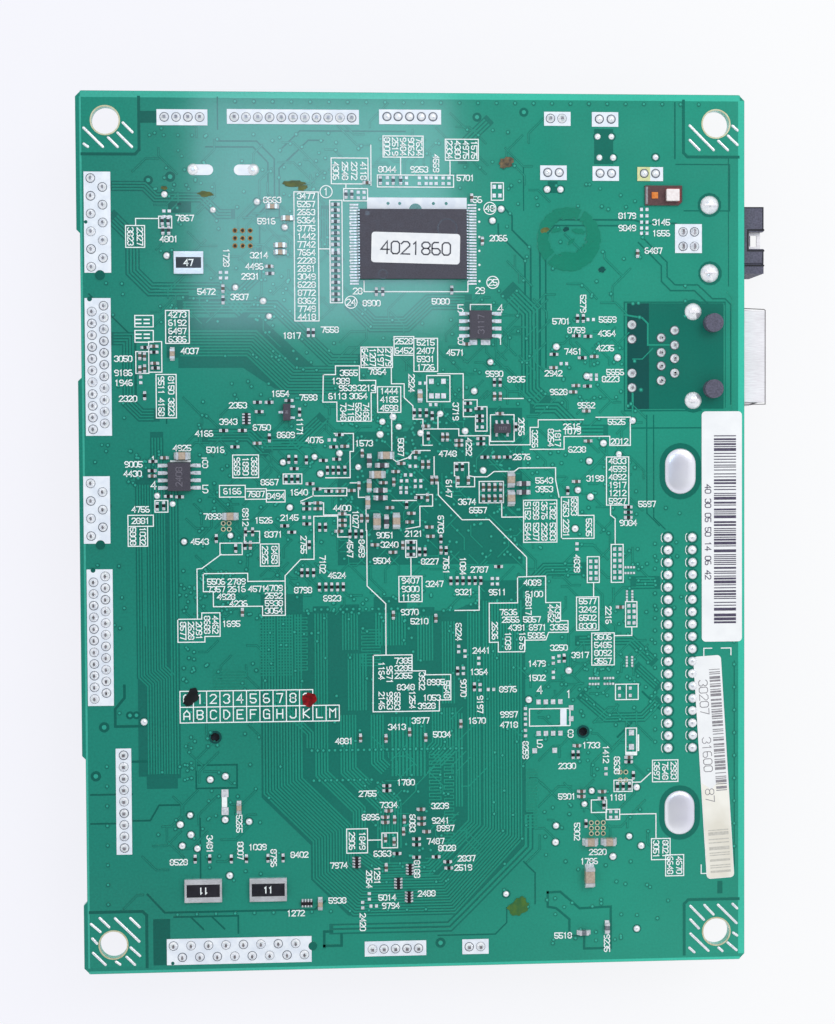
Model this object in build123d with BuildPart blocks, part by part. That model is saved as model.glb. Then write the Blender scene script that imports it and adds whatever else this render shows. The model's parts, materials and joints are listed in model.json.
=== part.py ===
"""Printer logic board: a bare printed circuit board with its sockets, headers and chips, solder side up.

Millimetres. X runs across the board towards the edge with the network and USB sockets, Y runs up the
long side and +Z points out of the solder side. The origin is under the middle of the whole part, on the
plane that it rests on, so the tall parts of the component side hang down from the board to Z = 0.
Places on the board are written from its lower left corner, and place() moves them into this frame.
"""

from build123d import *
import os

os.makedirs("parts", exist_ok=True)

# ---------------------------------------------------------------- board
board_width = 115.0
board_length = 151.0
board_thickness = 1.6
corner_cut = 1.0
mount_hole_radius = 2.3
mount_hole_inset = 5.0
locating_hole_radius = 0.75
locating_holes = [(22.7, 40.6), (86.5, 40.6)]
side_recess_depth = 0.6
side_recesses = [(11.9, 37.7), (101.8, 127.5)]  # lowest and highest Y of each shallow step in the left edge

# ---------------------------------------------------------------- network socket
jack_overhang = 4.2  # how far its face stands past the board's edge
jack_centre_y = 105.85
jack_width = 15.9
jack_depth = 25.4
jack_height = 13.4
shield_wall = 0.25
plug_width = 11.7
plug_height = 6.8
plug_depth = 13.6
plug_rim = 1.6  # plastic between the cavity and the side away from the board
latch_width = 6.1
latch_height = 1.7
latch_step_width = 3.4
latch_step_height = 1.0
lamp_width = 3.0
lamp_height = 2.2
lamp_depth = 3.5
lamp_inset = 0.5
comb_width = 10.4
jack_pin_pitch = 1.27
jack_pin_count = 8
jack_pin_setback = 16.5  # from the socket's face to the front row
jack_pin_rows = 2.54
jack_pin_thickness = 0.35
jack_pin_width = 0.45
beam_lift = 0.6  # each spring contact's underside above the cavity's far side
beam_spring = 2.2
beam_setback = 3.0
beam_return = 6.0
comb_chamber = 1.0  # room behind the rearmost contact tails
lamp_lead_setback = 24.0
lamp_lead_pitch = 2.5
lamp_lead_spread = 8.4  # between the middles of the two pairs
jack_tab_setback = 13.25
jack_tab_width = 1.6
jack_tab_thickness = 0.5
peg_radius = 1.6
peg_setback = 9.9
peg_spacing = 11.43
peg_stand_out = 2.0
finger_length = 5.2
finger_bulge = 0.6
finger_thickness = 0.2
finger_height = 3.6

# ---------------------------------------------------------------- USB socket
usb_overhang = 3.8
usb_centre_y = 126.1
usb_width = 12.0
usb_height = 10.9
usb_can_depth = 9.0
usb_nose_depth = 7.2
usb_nose_width = 11.6
usb_wall = 0.3
usb_mouth_width = 8.5
usb_mouth_height = 7.8
usb_mouth_cut = 1.6  # the two cut corners on the side away from the board
usb_mouth_rim = 1.5  # from the nose's far side to the mouth
usb_notch_width = 3.0
usb_notch_depth = 2.6
usb_window_width = 1.9
usb_window_length = 1.3
usb_groove_width = 0.3
usb_groove_depth = 0.25
usb_groove_inset = 1.7
usb_tongue_width = 5.6
usb_tongue_height = 3.2
usb_tongue_setback = 2.4
usb_contact_setback = 1.0
usb_pin_setback = 12.6  # from the socket's face to the front pair
usb_pin_pitch_x = 2.0
usb_pin_pitch_y = 2.5
usb_pin_width = 0.9
usb_pin_thickness = 0.35
usb_tab_setback = 9.95
usb_tab_width = 2.2

# ---------------------------------------------------------------- wire headers, 2 mm
header_pitch = 2.0
header_pin = 0.5
header_width = 4.5
header_pin_to_back = 1.7
header_end = 1.95
header_height = 6.0
header_wall = 0.6
header_floor = 1.4
header_key_width = 1.0
header_pin_reach = 4.6  # how deep the pins stand in the shroud, from the board

# ---------------------------------------------------------------- flat cable sockets
cable_socket_width = 4.5
cable_socket_end = 1.2
cable_socket_height = 6.2
cable_slot_width = 1.2
cable_slot_depth = 4.0
cable_slot_end_wall = 1.0
cable_ear_cut = 0.9
cable_rows = 2.0  # between the two staggered rows of contacts
fine_pitch = 1.0
coarse_pitch = 1.5
contact_width = 0.6
contact_thickness = 0.3

# ---------------------------------------------------------------- what stands out of the solder joints
tail_stand_out = 0.8
tab_stand_out = 1.0

# ---------------------------------------------------------------- chips with gull-wing leads
flash_body = (18.4, 12.0)
flash_centre = (57.3, 125.1)
flash_thickness = 1.0
flash_lead_count = 24
flash_lead_pitch = 0.5
flash_lead_width = 0.22
flash_reach = 10.1
small_chip_body = (3.9, 4.9)
small_chip_thickness = 1.45
small_chip_lead_pitch = 1.27
small_chip_lead_width = 0.42
small_chip_reach = 3.0
eeprom_centre = (17.0, 85.45)
driver_centre = (68.8, 111.3)
regulator_body = (2.9, 1.6)
regulator_centre = (72.5, 93.45)
regulator_lead_pitch = 0.95
sot_reach = 1.4
sot_thickness = 1.1
sot_lead_width = 0.4
transistor_body = (1.3, 2.9)
transistor_centre = (35.4, 96.4)
transistor_lead_pitch = 1.9
lead_thickness = 0.15
lead_foot = 0.5
chip_standoff = 0.1
chip_draft = 7.0

# ---------------------------------------------------------------- stickers
sticker_size = (15.2, 5.2)
sticker_turn = -1.5
sticker_offset = (0.35, -0.75)
sticker_thickness = 0.1
address_label_size = (7.1, 40.2)
address_label_inset = 4.0  # from the board's right edge to the label's middle
address_label_y = 76.15
serial_label_size = (4.9, 39.2)
serial_label_inset = 5.45
serial_label_y = 34.0
serial_label_turn = 3.5
label_thickness = 0.12
label_corner = 0.35
sticker_corner = 0.5

# ---------------------------------------------------------------- indicator by the USB socket
indicator_left = 97.5
indicator_right = 104.0
indicator_low = 131.9
indicator_high = 135.3
indicator_cut = 0.6
indicator_base_height = 0.35
indicator_lens_centre = (99.2, 133.6)
indicator_lens_size = 1.1
indicator_lens_height = 0.15
indicator_block_centre = (102.25, 133.6)
indicator_block_size = (2.2, 2.0)
indicator_block_height = 0.9

# ---------------------------------------------------------------- component side
can_radius = 4.0
can_height = 9.8
can_edge = 0.35
can_base = 8.3
can_base_height = 0.9
can_base_cut = 1.6
can_places = [(22.8, 30.0), (34.0, 108.0), (82.0, 15.5), (73.5, 141.0), (58.5, 12.5)]
processor_size = 27.0
processor_centre = (55.0, 85.0)
processor_substrate = 0.6
processor_cap = 24.0
processor_cap_height = 1.2
processor_draft = 20.0
memory_size = (12.5, 9.0)
memory_height = 1.1
memory_places = [(47.0, 45.0), (63.0, 45.0)]
power_chip_size = 5.0
power_chip_height = 0.9
power_chip_places = [(28.1, 126.1), (24.9, 76.9), (93.5, 32.8), (89.0, 23.7)]
coil_size = 7.0
coil_height = 4.0
coil_corner = 1.5
coil_places = [(98.4, 26.4), (96.6, 17.0)]
crystal_size = (11.3, 4.6)
crystal_height = 3.6
crystal_rim = 0.4
crystal_centre = (77.0, 100.0)
link_left_x = 19.8
link_right_x = 30.0
link_y = 137.75
link_wire_radius = 0.3
link_wire_sides = 8
link_drop = 1.0

# ---------------------------------------------------------------- chip sizes: length, width, height
resistor_chip = (1.0, 0.5, 0.35)
capacitor_chip = (1.0, 0.5, 0.5)
medium_chip = (1.6, 0.8, 0.8)
large_chip = (2.0, 1.25, 1.2)
output_chip = (3.2, 1.6, 1.5)
array_chip = (2.0, 1.0, 0.45)
sense_element = 2.2
sense_height = 0.6
sense_cap_height = 0.65

# ---------------------------------------------------------------- worked out from the sizes above
component_side = jack_height
solder_side = component_side + board_thickness
origin_x = (board_width + jack_overhang) / 2
origin_y = board_length / 2
top_of_tails = solder_side + tail_stand_out
solder_plane = Plane.XY.offset(solder_side)
component_plane = Plane.XY.offset(component_side)
jack_face = board_width + jack_overhang
jack_pin_front_x = jack_face - jack_pin_setback
lamp_lead_x = jack_face - lamp_lead_setback
jack_tab_x = jack_face - jack_tab_setback
peg_x = jack_face - peg_setback
usb_face = board_width + usb_overhang
usb_pin_front_x = usb_face - usb_pin_setback
usb_pin_back_x = usb_pin_front_x - usb_pin_pitch_x
usb_tab_x = usb_face - usb_tab_setback


def place(x, y):
    """A place written from the board's lower left corner, in the part's own frame."""
    return (x - origin_x, y - origin_y)


def places(points):
    """Several places in the part's own frame."""
    return [place(x, y) for x, y in points]


def row(start, step, count):
    """Evenly spaced places, the first at start."""
    return [(start[0] + step[0] * i, start[1] + step[1] * i) for i in range(count)]


def staggered(start, along, across, pitch, count):
    """Two rows of contacts half a step apart: every other one is moved across."""
    spots = []
    for i in range(count):
        shift = cable_rows if i % 2 else 0.0
        spots.append((
            start[0] + along[0] * pitch * i + across[0] * shift,
            start[1] + along[1] * pitch * i + across[1] * shift,
        ))
    return spots


def save(builder, label):
    """Names a finished piece and writes it to its own file."""
    builder.part.label = label
    export_step(builder.part, f"parts/{label}.step")


# ---------------------------------------------------------------- where everything is soldered
header_rows = {
    "wire_header_4_way": ((15.0, 146.6), (header_pitch, 0), 4, -1),
    "wire_header_11_way": ((26.85, 146.65), (header_pitch, 0), 11, -1),
    "wire_header_2_way_top": ((81.1, 146.75), (header_pitch, 0), 2, -1),
    "wire_header_9_way": ((7.05, 21.75), (0, header_pitch), 9, 1),
    "wire_header_5_way": ((49.55, 3.25), (header_pitch, 0), 5, 1),
    "wire_header_2_way_bottom": ((66.4, 3.3), (header_pitch, 0), 2, 1),
}
header_pin_places = [
    spot for start, step, count, _ in header_rows.values() for spot in row(start, step, count)
]
coarse_sockets = {
    "cable_socket_11_way": ((2.45, 136.2), (0, -1), (1, 0), 11),
    "cable_socket_7_way": ((1.95, 84.4), (0, -1), (1, 0), 7),
    "cable_socket_16_way": ((15.25, 4.6), (1, 0), (0, -1), 16),
}
fine_sockets = {
    "flat_cable_socket_upper": ((2.45 + cable_rows, 114.6), (0, -1), (-1, 0), 22),
    "flat_cable_socket_lower": ((2.25 + cable_rows, 68.5), (0, -1), (-1, 0), 22),
}
coarse_places = [
    spot
    for start, along, across, count in coarse_sockets.values()
    for spot in staggered(start, along, across, coarse_pitch, count)
]
fine_places = [
    spot
    for start, along, across, count in fine_sockets.values()
    for spot in staggered(start, along, across, fine_pitch, count)
]
jack_pin_places = [
    (
        jack_pin_front_x - (jack_pin_rows if i % 2 else 0.0),
        jack_centre_y + jack_pin_pitch * ((jack_pin_count - 1) / 2 - i),
    )
    for i in range(jack_pin_count)
]
lamp_lead_places = [
    (lamp_lead_x, jack_centre_y + side * lamp_lead_spread / 2 + end * lamp_lead_pitch / 2)
    for side in (1, -1)
    for end in (1, -1)
]
jack_side = jack_width / 2 - jack_tab_thickness / 2
jack_tab_places = [(jack_tab_x, jack_centre_y + side * jack_side) for side in (1, -1)]
peg_places = [(peg_x, jack_centre_y + side * peg_spacing / 2) for side in (1, -1)]
usb_pin_places = [
    (pin_x, usb_centre_y + side * usb_pin_pitch_y / 2)
    for pin_x in (usb_pin_back_x, usb_pin_front_x)
    for side in (1, -1)
]
usb_side = usb_width / 2 - usb_wall / 2
usb_tab_places = [(usb_tab_x, usb_centre_y + side * usb_side) for side in (1, -1)]
link_places = [(link_left_x, link_y), (link_right_x, link_y)]
mount_hole_places = [
    (x, y)
    for x in (mount_hole_inset, board_width - mount_hole_inset)
    for y in (mount_hole_inset, board_length - mount_hole_inset)
]

# ================================================================ circuit board
# The solder fills each plated hole round its pin, so an opening has the pin's own section.
edge_points = [(corner_cut, 0.0), (0.0, corner_cut)]
for low, high in side_recesses:
    edge_points += [
        (0.0, low),
        (side_recess_depth, low + side_recess_depth),
        (side_recess_depth, high - side_recess_depth),
        (0.0, high),
    ]
edge_points += [
    (0.0, board_length - corner_cut),
    (corner_cut, board_length),
    (board_width - corner_cut, board_length),
    (board_width, board_length - corner_cut),
    (board_width, corner_cut),
    (board_width - corner_cut, 0.0),
]
with BuildPart() as board:
    with BuildSketch(component_plane):
        with BuildLine():
            Polyline(*places(edge_points), close=True)
        make_face()
        with Locations(*places(mount_hole_places)):
            Circle(mount_hole_radius, mode=Mode.SUBTRACT)
        with Locations(*places(locating_holes)):
            Circle(locating_hole_radius, mode=Mode.SUBTRACT)
        with Locations(*places(peg_places)):
            Circle(peg_radius, mode=Mode.SUBTRACT)
        with Locations(*places(link_places)):
            RegularPolygon(link_wire_radius, link_wire_sides, mode=Mode.SUBTRACT)
        with Locations(*places(header_pin_places)):
            Rectangle(header_pin, header_pin, mode=Mode.SUBTRACT)
        with Locations(*places(coarse_places + fine_places)):
            Rectangle(contact_thickness, contact_width, mode=Mode.SUBTRACT)
        with Locations(*places(jack_pin_places + lamp_lead_places)):
            Rectangle(jack_pin_thickness, jack_pin_width, mode=Mode.SUBTRACT)
        with Locations(*places(jack_tab_places)):
            Rectangle(jack_tab_width, jack_tab_thickness, mode=Mode.SUBTRACT)
        with Locations(*places(usb_pin_places)):
            Rectangle(usb_pin_thickness, usb_pin_width, mode=Mode.SUBTRACT)
        with Locations(*places(usb_tab_places)):
            Rectangle(usb_tab_width, usb_wall, mode=Mode.SUBTRACT)
    extrude(amount=board_thickness)
save(board, "circuit_board")


# ================================================================ wire headers
def wire_header(label, start, step, count, open_side):
    """A shrouded header: a box open away from the board, with keyways in its deep long wall."""
    along_x = step[0] != 0
    run = header_pitch * (count - 1)
    length = run + 2 * header_end
    mid = (start[0] + step[0] * (count - 1) / 2, start[1] + step[1] * (count - 1) / 2)
    shift = open_side * (header_width / 2 - header_pin_to_back)
    centre = (mid[0], mid[1] + shift) if along_x else (mid[0] + shift, mid[1])
    outer = (length, header_width) if along_x else (header_width, length)
    inner = (outer[0] - 2 * header_wall, outer[1] - 2 * header_wall)
    deep_wall = header_width / 2 - header_wall / 2
    keys = []
    for end in (-1, 1):
        lengthwise = end * (run / 2 - header_pitch / 4)
        offset = (lengthwise, open_side * deep_wall) if along_x else (open_side * deep_wall, lengthwise)
        keys.append((centre[0] + offset[0], centre[1] + offset[1]))
    key = (header_key_width, header_wall) if along_x else (header_wall, header_key_width)
    with BuildPart() as housing:
        with BuildSketch(component_plane):
            with Locations(place(*centre)):
                Rectangle(*outer)
        extrude(amount=-header_height)
        with BuildSketch(Plane.XY.offset(component_side - header_height)):
            with Locations(place(*centre)):
                Rectangle(*inner)
            with Locations(*places(keys)):
                Rectangle(*key)
        extrude(amount=header_height - header_floor, mode=Mode.SUBTRACT)
        with BuildSketch(component_plane):
            with Locations(*places(row(start, step, count))):
                Rectangle(header_pin, header_pin)
        extrude(amount=-header_floor, mode=Mode.SUBTRACT)
    save(housing, label)


for name, (start, step, count, open_side) in header_rows.items():
    wire_header(name, start, step, count, open_side)

with BuildPart() as header_pins:
    with BuildSketch(Plane.XY.offset(component_side - header_pin_reach)):
        with Locations(*places(header_pin_places)):
            Rectangle(header_pin, header_pin)
    extrude(amount=header_pin_reach + board_thickness + tail_stand_out)
save(header_pins, "wire_header_pins")


# ================================================================ flat cable sockets
def cable_socket(label, start, along, across, pitch, count):
    """An upright socket for a flat cable: a long block with one deep slot and cut-back ears."""
    run = pitch * (count - 1)
    length = run + 2 * cable_socket_end
    centre = (
        start[0] + along[0] * run / 2 + across[0] * cable_rows / 2,
        start[1] + along[1] * run / 2 + across[1] * cable_rows / 2,
    )
    along_x = along[0] != 0
    outer = (length, cable_socket_width) if along_x else (cable_socket_width, length)
    slot_length = length - 2 * cable_slot_end_wall
    slot = (slot_length, cable_slot_width) if along_x else (cable_slot_width, slot_length)
    with BuildPart() as socket:
        with BuildSketch(component_plane):
            with Locations(place(*centre)):
                Rectangle(*outer)
        extrude(amount=-cable_socket_height)
        ends = socket.edges().group_by(Axis.Z)[0].filter_by(Axis.Y if along_x else Axis.X)
        chamfer(ends, length=cable_ear_cut)
        with BuildSketch(Plane.XY.offset(component_side - cable_socket_height)):
            with Locations(place(*centre)):
                Rectangle(*slot)
        extrude(amount=cable_slot_depth, mode=Mode.SUBTRACT)
    save(socket, label)


for name, (start, along, across, count) in coarse_sockets.items():
    cable_socket(name, start, along, across, coarse_pitch, count)
for name, (start, along, across, count) in fine_sockets.items():
    cable_socket(name, start, along, across, fine_pitch, count)


def contact_tails(label, spots):
    """The flat tails that run from a cable socket's face through the board."""
    with BuildPart() as tails:
        with BuildSketch(component_plane):
            with Locations(*places(spots)):
                Rectangle(contact_thickness, contact_width)
        extrude(amount=board_thickness + tail_stand_out)
    save(tails, label)


contact_tails("cable_socket_contacts", coarse_places)
contact_tails("flat_cable_contacts", fine_places)

# ================================================================ network socket
jack_x, jack_y = place(jack_face, jack_centre_y)
jack_back = jack_x - jack_depth
jack_middle = (jack_x + jack_back) / 2
cavity_floor = plug_rim + shield_wall  # Z of the cavity's side away from the board
cavity_top = cavity_floor + plug_height
core_width = jack_width - 2 * jack_tab_thickness
board_edge = place(board_width, 0)[0]


def mouth_outline(clearance):
    """The plug's stepped mouth: the body, the latch and the latch's tip towards the board."""
    half_plug = plug_width / 2 + clearance
    half_latch = latch_width / 2 + clearance
    half_step = latch_step_width / 2 + clearance
    low = cavity_floor - clearance
    step_one = cavity_top + clearance
    step_two = step_one + latch_height
    step_three = step_two + latch_step_height
    right = [
        (half_plug, low),
        (half_plug, step_one),
        (half_latch, step_one),
        (half_latch, step_two),
        (half_step, step_two),
        (half_step, step_three),
    ]
    return right + [(-y, z) for y, z in reversed(right)]


lamp_side = core_width / 2 - lamp_inset - lamp_width / 2
lamp_z = component_side - shield_wall - lamp_inset - lamp_height / 2
face_plane = Plane(origin=(jack_x, jack_y, 0), x_dir=(0, 1, 0), z_dir=(1, 0, 0))
inner_face = face_plane.offset(-shield_wall)
comb_back = jack_pin_front_x - jack_pin_rows - jack_pin_thickness / 2
comb_start = place(comb_back - comb_chamber, 0)[0]
comb_end = jack_x - plug_depth

with BuildPart() as shield:
    with BuildSketch(Plane.XY):
        with Locations((jack_middle, jack_y)):
            Rectangle(jack_depth, jack_width)
    extrude(amount=jack_height)
    # The side walls are doubled where the tabs are folded down, so the hollow is the core's own size.
    with BuildSketch(Plane.XY.offset(shield_wall)):
        with Locations((jack_middle, jack_y)):
            Rectangle(jack_depth - 2 * shield_wall, core_width)
    extrude(amount=jack_height - 2 * shield_wall, mode=Mode.SUBTRACT)
    # The underside is open over the board, and closed by a lip past the board's edge.
    with BuildSketch(component_plane):
        with Locations(((jack_back + board_edge) / 2, jack_y)):
            Rectangle(board_edge - jack_back - 2 * shield_wall, core_width)
    extrude(amount=-2 * shield_wall, mode=Mode.SUBTRACT)
    with BuildSketch(face_plane):
        with BuildLine():
            Polyline(*mouth_outline(0), close=True)
        make_face()
        with Locations((lamp_side, lamp_z), (-lamp_side, lamp_z)):
            Rectangle(lamp_width, lamp_height)
    extrude(amount=-shield_wall, mode=Mode.SUBTRACT)
    with BuildSketch(component_plane):
        with Locations(*places(jack_tab_places)):
            Rectangle(jack_tab_width, jack_tab_thickness)
    extrude(amount=board_thickness + tab_stand_out)
    # One curved contact finger is pressed out of each side near the face.
    with BuildSketch(Plane.XY.offset((jack_height - finger_height) / 2)):
        for side in (1, -1):
            wall = jack_y + side * jack_width / 2
            front = jack_x - shield_wall
            back = front - finger_length
            tip = back - finger_thickness
            reach = wall + side * (finger_bulge - finger_thickness)
            crown = wall + side * finger_bulge
            middle = (front + back) / 2
            with BuildLine():
                ThreePointArc((back, wall), (middle, reach), (front, wall))
                Line((front, wall), (front + finger_thickness, wall))
                ThreePointArc((front + finger_thickness, wall), (middle, crown), (tip, wall))
                Line((tip, wall), (back, wall))
            make_face()
    extrude(amount=finger_height)
save(shield, "ethernet_shield")

with BuildPart() as jack_core:
    with BuildSketch(Plane.XY.offset(shield_wall)):
        with Locations((jack_middle, jack_y)):
            Rectangle(jack_depth - 2 * shield_wall, core_width)
    extrude(amount=component_side - 2 * shield_wall)
    # Behind the lip the core reaches up to the board.
    with BuildSketch(Plane.XY.offset(component_side - shield_wall)):
        with Locations(((jack_back + board_edge) / 2, jack_y)):
            Rectangle(board_edge - jack_back - 2 * shield_wall, core_width)
    extrude(amount=shield_wall)
    with BuildSketch(inner_face):
        with BuildLine():
            Polyline(*mouth_outline(0), close=True)
        make_face()
    extrude(amount=-(plug_depth - shield_wall), mode=Mode.SUBTRACT)
    with BuildSketch(inner_face):
        with Locations((lamp_side, lamp_z), (-lamp_side, lamp_z)):
            Rectangle(lamp_width, lamp_height)
    extrude(amount=-lamp_depth, mode=Mode.SUBTRACT)
    # The contact comb's chamber opens into the cavity and towards the board.
    with BuildSketch(Plane.XY.offset(cavity_floor)):
        with Locations(((comb_start + comb_end) / 2, jack_y)):
            Rectangle(comb_end - comb_start, comb_width)
    extrude(amount=component_side - cavity_floor, mode=Mode.SUBTRACT)
    with BuildSketch(component_plane):
        with Locations(*places(lamp_lead_places)):
            Rectangle(jack_pin_thickness * 3, jack_pin_width * 3, mode=Mode.ADD)
    extrude(amount=-shield_wall, mode=Mode.SUBTRACT)
    with BuildSketch(component_plane):
        with Locations(*places(peg_places)):
            Circle(peg_radius)
    extrude(amount=board_thickness + peg_stand_out)
save(jack_core, "ethernet_housing")

with BuildPart() as jack_contacts:
    beam_low = cavity_floor + beam_lift
    beam_tip = cavity_floor + beam_spring
    beam_nose = jack_x - beam_setback
    beam_end = comb_end + beam_return
    for tail_x, tail_y in places(jack_pin_places):
        half = jack_pin_thickness / 2
        with BuildSketch(Plane(origin=(0, tail_y, 0), x_dir=(1, 0, 0), z_dir=(0, -1, 0))):
            with BuildLine():
                Polyline(
                    (tail_x - half, top_of_tails),
                    (tail_x - half, beam_low),
                    (beam_nose, beam_low),
                    (beam_nose, beam_low + jack_pin_thickness),
                    (beam_end, beam_tip),
                    (beam_end - jack_pin_thickness, beam_tip),
                    (beam_nose - 3 * jack_pin_thickness, beam_low + jack_pin_thickness),
                    (tail_x + half, beam_low + jack_pin_thickness),
                    (tail_x + half, top_of_tails),
                    close=True,
                )
            make_face()
        extrude(amount=jack_pin_width / 2, both=True)
save(jack_contacts, "ethernet_contacts")

with BuildPart() as lamps:
    with BuildSketch(inner_face):
        with Locations((lamp_side, lamp_z), (-lamp_side, lamp_z)):
            Rectangle(lamp_width, lamp_height)
    extrude(amount=-lamp_depth)
save(lamps, "ethernet_lamps")

with BuildPart() as lamp_leads:
    with BuildSketch(Plane.XY.offset(component_side - shield_wall)):
        with Locations(*places(lamp_lead_places)):
            Rectangle(jack_pin_thickness, jack_pin_width)
    extrude(amount=shield_wall + board_thickness + tail_stand_out)
save(lamp_leads, "ethernet_lamp_leads")

# ================================================================ USB socket
usb_x, usb_y = place(usb_face, usb_centre_y)
usb_can_back = usb_x - usb_nose_depth - usb_can_depth
usb_can_middle = usb_can_back + usb_can_depth / 2
usb_nose_back = usb_x - usb_nose_depth
usb_low = component_side - usb_height
mouth_low = usb_low + usb_mouth_rim
mouth_high = mouth_low + usb_mouth_height
usb_front_plane = Plane(origin=(usb_x, usb_y, 0), x_dir=(0, 1, 0), z_dir=(1, 0, 0))
usb_joint_plane = Plane(origin=(usb_nose_back, usb_y, 0), x_dir=(0, 1, 0), z_dir=(1, 0, 0))
usb_back_plane = Plane(origin=(usb_can_back + usb_wall, usb_y, 0), x_dir=(0, 1, 0), z_dir=(1, 0, 0))


def usb_mouth(grow):
    """The mouth's outline, square towards the board and with two cut corners on the far side."""
    half = usb_mouth_width / 2 + grow
    low = mouth_low - grow
    high = mouth_high + grow
    right = [(half, high), (half, low + usb_mouth_cut), (half - usb_mouth_cut, low)]
    return right + [(-y, z) for y, z in reversed(right)]


with BuildPart() as usb_shell:
    with BuildSketch(Plane.XY.offset(usb_low)):
        with Locations((usb_can_middle, usb_y)):
            Rectangle(usb_can_depth, usb_width)
    extrude(amount=usb_height)
    with BuildSketch(Plane.XY.offset(usb_low + usb_wall)):
        with Locations((usb_can_middle, usb_y)):
            Rectangle(usb_can_depth - 2 * usb_wall, usb_width - 2 * usb_wall)
    extrude(amount=usb_height - usb_wall, mode=Mode.SUBTRACT)
    with BuildSketch(usb_joint_plane):
        with BuildLine():
            Polyline(*usb_mouth(usb_wall), close=True)
        make_face()
    extrude(amount=usb_nose_depth - usb_wall)
    with BuildSketch(usb_joint_plane.offset(-usb_wall)):
        with BuildLine():
            Polyline(*usb_mouth(0), close=True)
        make_face()
    extrude(amount=usb_nose_depth, mode=Mode.SUBTRACT)
    # A small window in the sleeve, where its retaining spring is cut free, shows in the nose's notch.
    with BuildSketch(component_plane):
        with Locations((usb_x - usb_wall - usb_window_length, usb_y)):
            Rectangle(usb_window_length, usb_window_width)
    extrude(amount=-(component_side - mouth_high + usb_wall), mode=Mode.SUBTRACT)
    with BuildSketch(component_plane):
        with Locations(*places(usb_tab_places)):
            Rectangle(usb_tab_width, usb_wall)
    extrude(amount=board_thickness + tab_stand_out)
save(usb_shell, "usb_shell")

with BuildPart() as usb_nose:
    with BuildSketch(usb_joint_plane):
        with Locations((0, usb_low + usb_height / 2)):
            Rectangle(usb_nose_width, usb_height)
    extrude(amount=usb_nose_depth)
    with BuildSketch(usb_joint_plane):
        with BuildLine():
            Polyline(*usb_mouth(usb_wall), close=True)
        make_face()
    extrude(amount=usb_nose_depth, mode=Mode.SUBTRACT)
    with BuildSketch(component_plane):
        with Locations((usb_x - usb_notch_depth / 2, usb_y)):
            Rectangle(usb_notch_depth, usb_notch_width)
    extrude(amount=-(component_side - mouth_high), mode=Mode.SUBTRACT)
    with BuildSketch(component_plane):
        with Locations((usb_x - usb_nose_depth / 2, usb_y - usb_nose_width / 2 + usb_groove_inset)):
            Rectangle(usb_nose_depth, usb_groove_width)
    extrude(amount=-usb_groove_depth, mode=Mode.SUBTRACT)
save(usb_nose, "usb_nose")

tongue_middle = (mouth_low + mouth_high) / 2
tongue_back = usb_can_back + usb_wall
tongue_length = usb_x - usb_tongue_setback - tongue_back
block_front = usb_nose_back - usb_wall


def usb_contact_outline(tail_x, side):
    """One contact: along the tongue's face, back into the block and up through the board."""
    half = usb_pin_thickness / 2
    face = tongue_middle + side * usb_tongue_height / 2
    far = face + side * usb_pin_thickness
    tip = tongue_back + tongue_length - usb_contact_setback
    low, high = min(face, far), max(face, far)
    return [
        (tail_x - half, top_of_tails),
        (tail_x - half, low),
        (tip, low),
        (tip, high),
        (tail_x + half, high),
        (tail_x + half, top_of_tails),
    ]


usb_contact_list = [
    (*place(x, y), -1 if x < usb_pin_front_x else 1) for x, y in usb_pin_places
]
with BuildPart() as usb_contacts:
    for tail_x, tail_y, side in usb_contact_list:
        with BuildSketch(Plane(origin=(0, tail_y, 0), x_dir=(1, 0, 0), z_dir=(0, -1, 0))):
            with BuildLine():
                Polyline(*usb_contact_outline(tail_x, side), close=True)
            make_face()
        extrude(amount=usb_pin_width / 2, both=True)
save(usb_contacts, "usb_contacts")

with BuildPart() as usb_tongue:
    with BuildSketch(Plane(origin=(tongue_back, usb_y, 0), x_dir=(0, 1, 0), z_dir=(1, 0, 0))):
        with Locations((0, (usb_low + usb_wall + component_side) / 2)):
            Rectangle(usb_width - 2 * usb_wall, usb_height - usb_wall)
    extrude(amount=block_front - tongue_back)
    with BuildSketch(Plane(origin=(tongue_back, usb_y, 0), x_dir=(0, 1, 0), z_dir=(1, 0, 0))):
        with Locations((0, tongue_middle)):
            Rectangle(usb_tongue_width, usb_tongue_height)
    extrude(amount=tongue_length)
    for tail_x, tail_y, side in usb_contact_list:
        with BuildSketch(Plane(origin=(0, tail_y, 0), x_dir=(1, 0, 0), z_dir=(0, -1, 0))):
            with BuildLine():
                Polyline(*usb_contact_outline(tail_x, side), close=True)
            make_face()
        extrude(amount=usb_pin_width / 2, both=True, mode=Mode.SUBTRACT)
save(usb_tongue, "usb_tongue")


# ================================================================ chips with gull-wing leads
def chip_body(label, centre, size, thickness):
    """A moulded body: a straight belt where the leads leave it, drafted above and below."""
    belt_low = solder_side + chip_standoff + (thickness - lead_thickness) / 2
    with BuildPart() as body:
        with BuildSketch(Plane.XY.offset(belt_low)):
            with Locations(place(*centre)):
                Rectangle(*size)
        extrude(amount=lead_thickness)
        top = body.faces().sort_by(Axis.Z)[-1]
        bottom = body.faces().sort_by(Axis.Z)[0]
        extrude(top, amount=(thickness - lead_thickness) / 2, taper=chip_draft)
        extrude(bottom, amount=(thickness - lead_thickness) / 2, taper=chip_draft)
    save(body, label)


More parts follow.
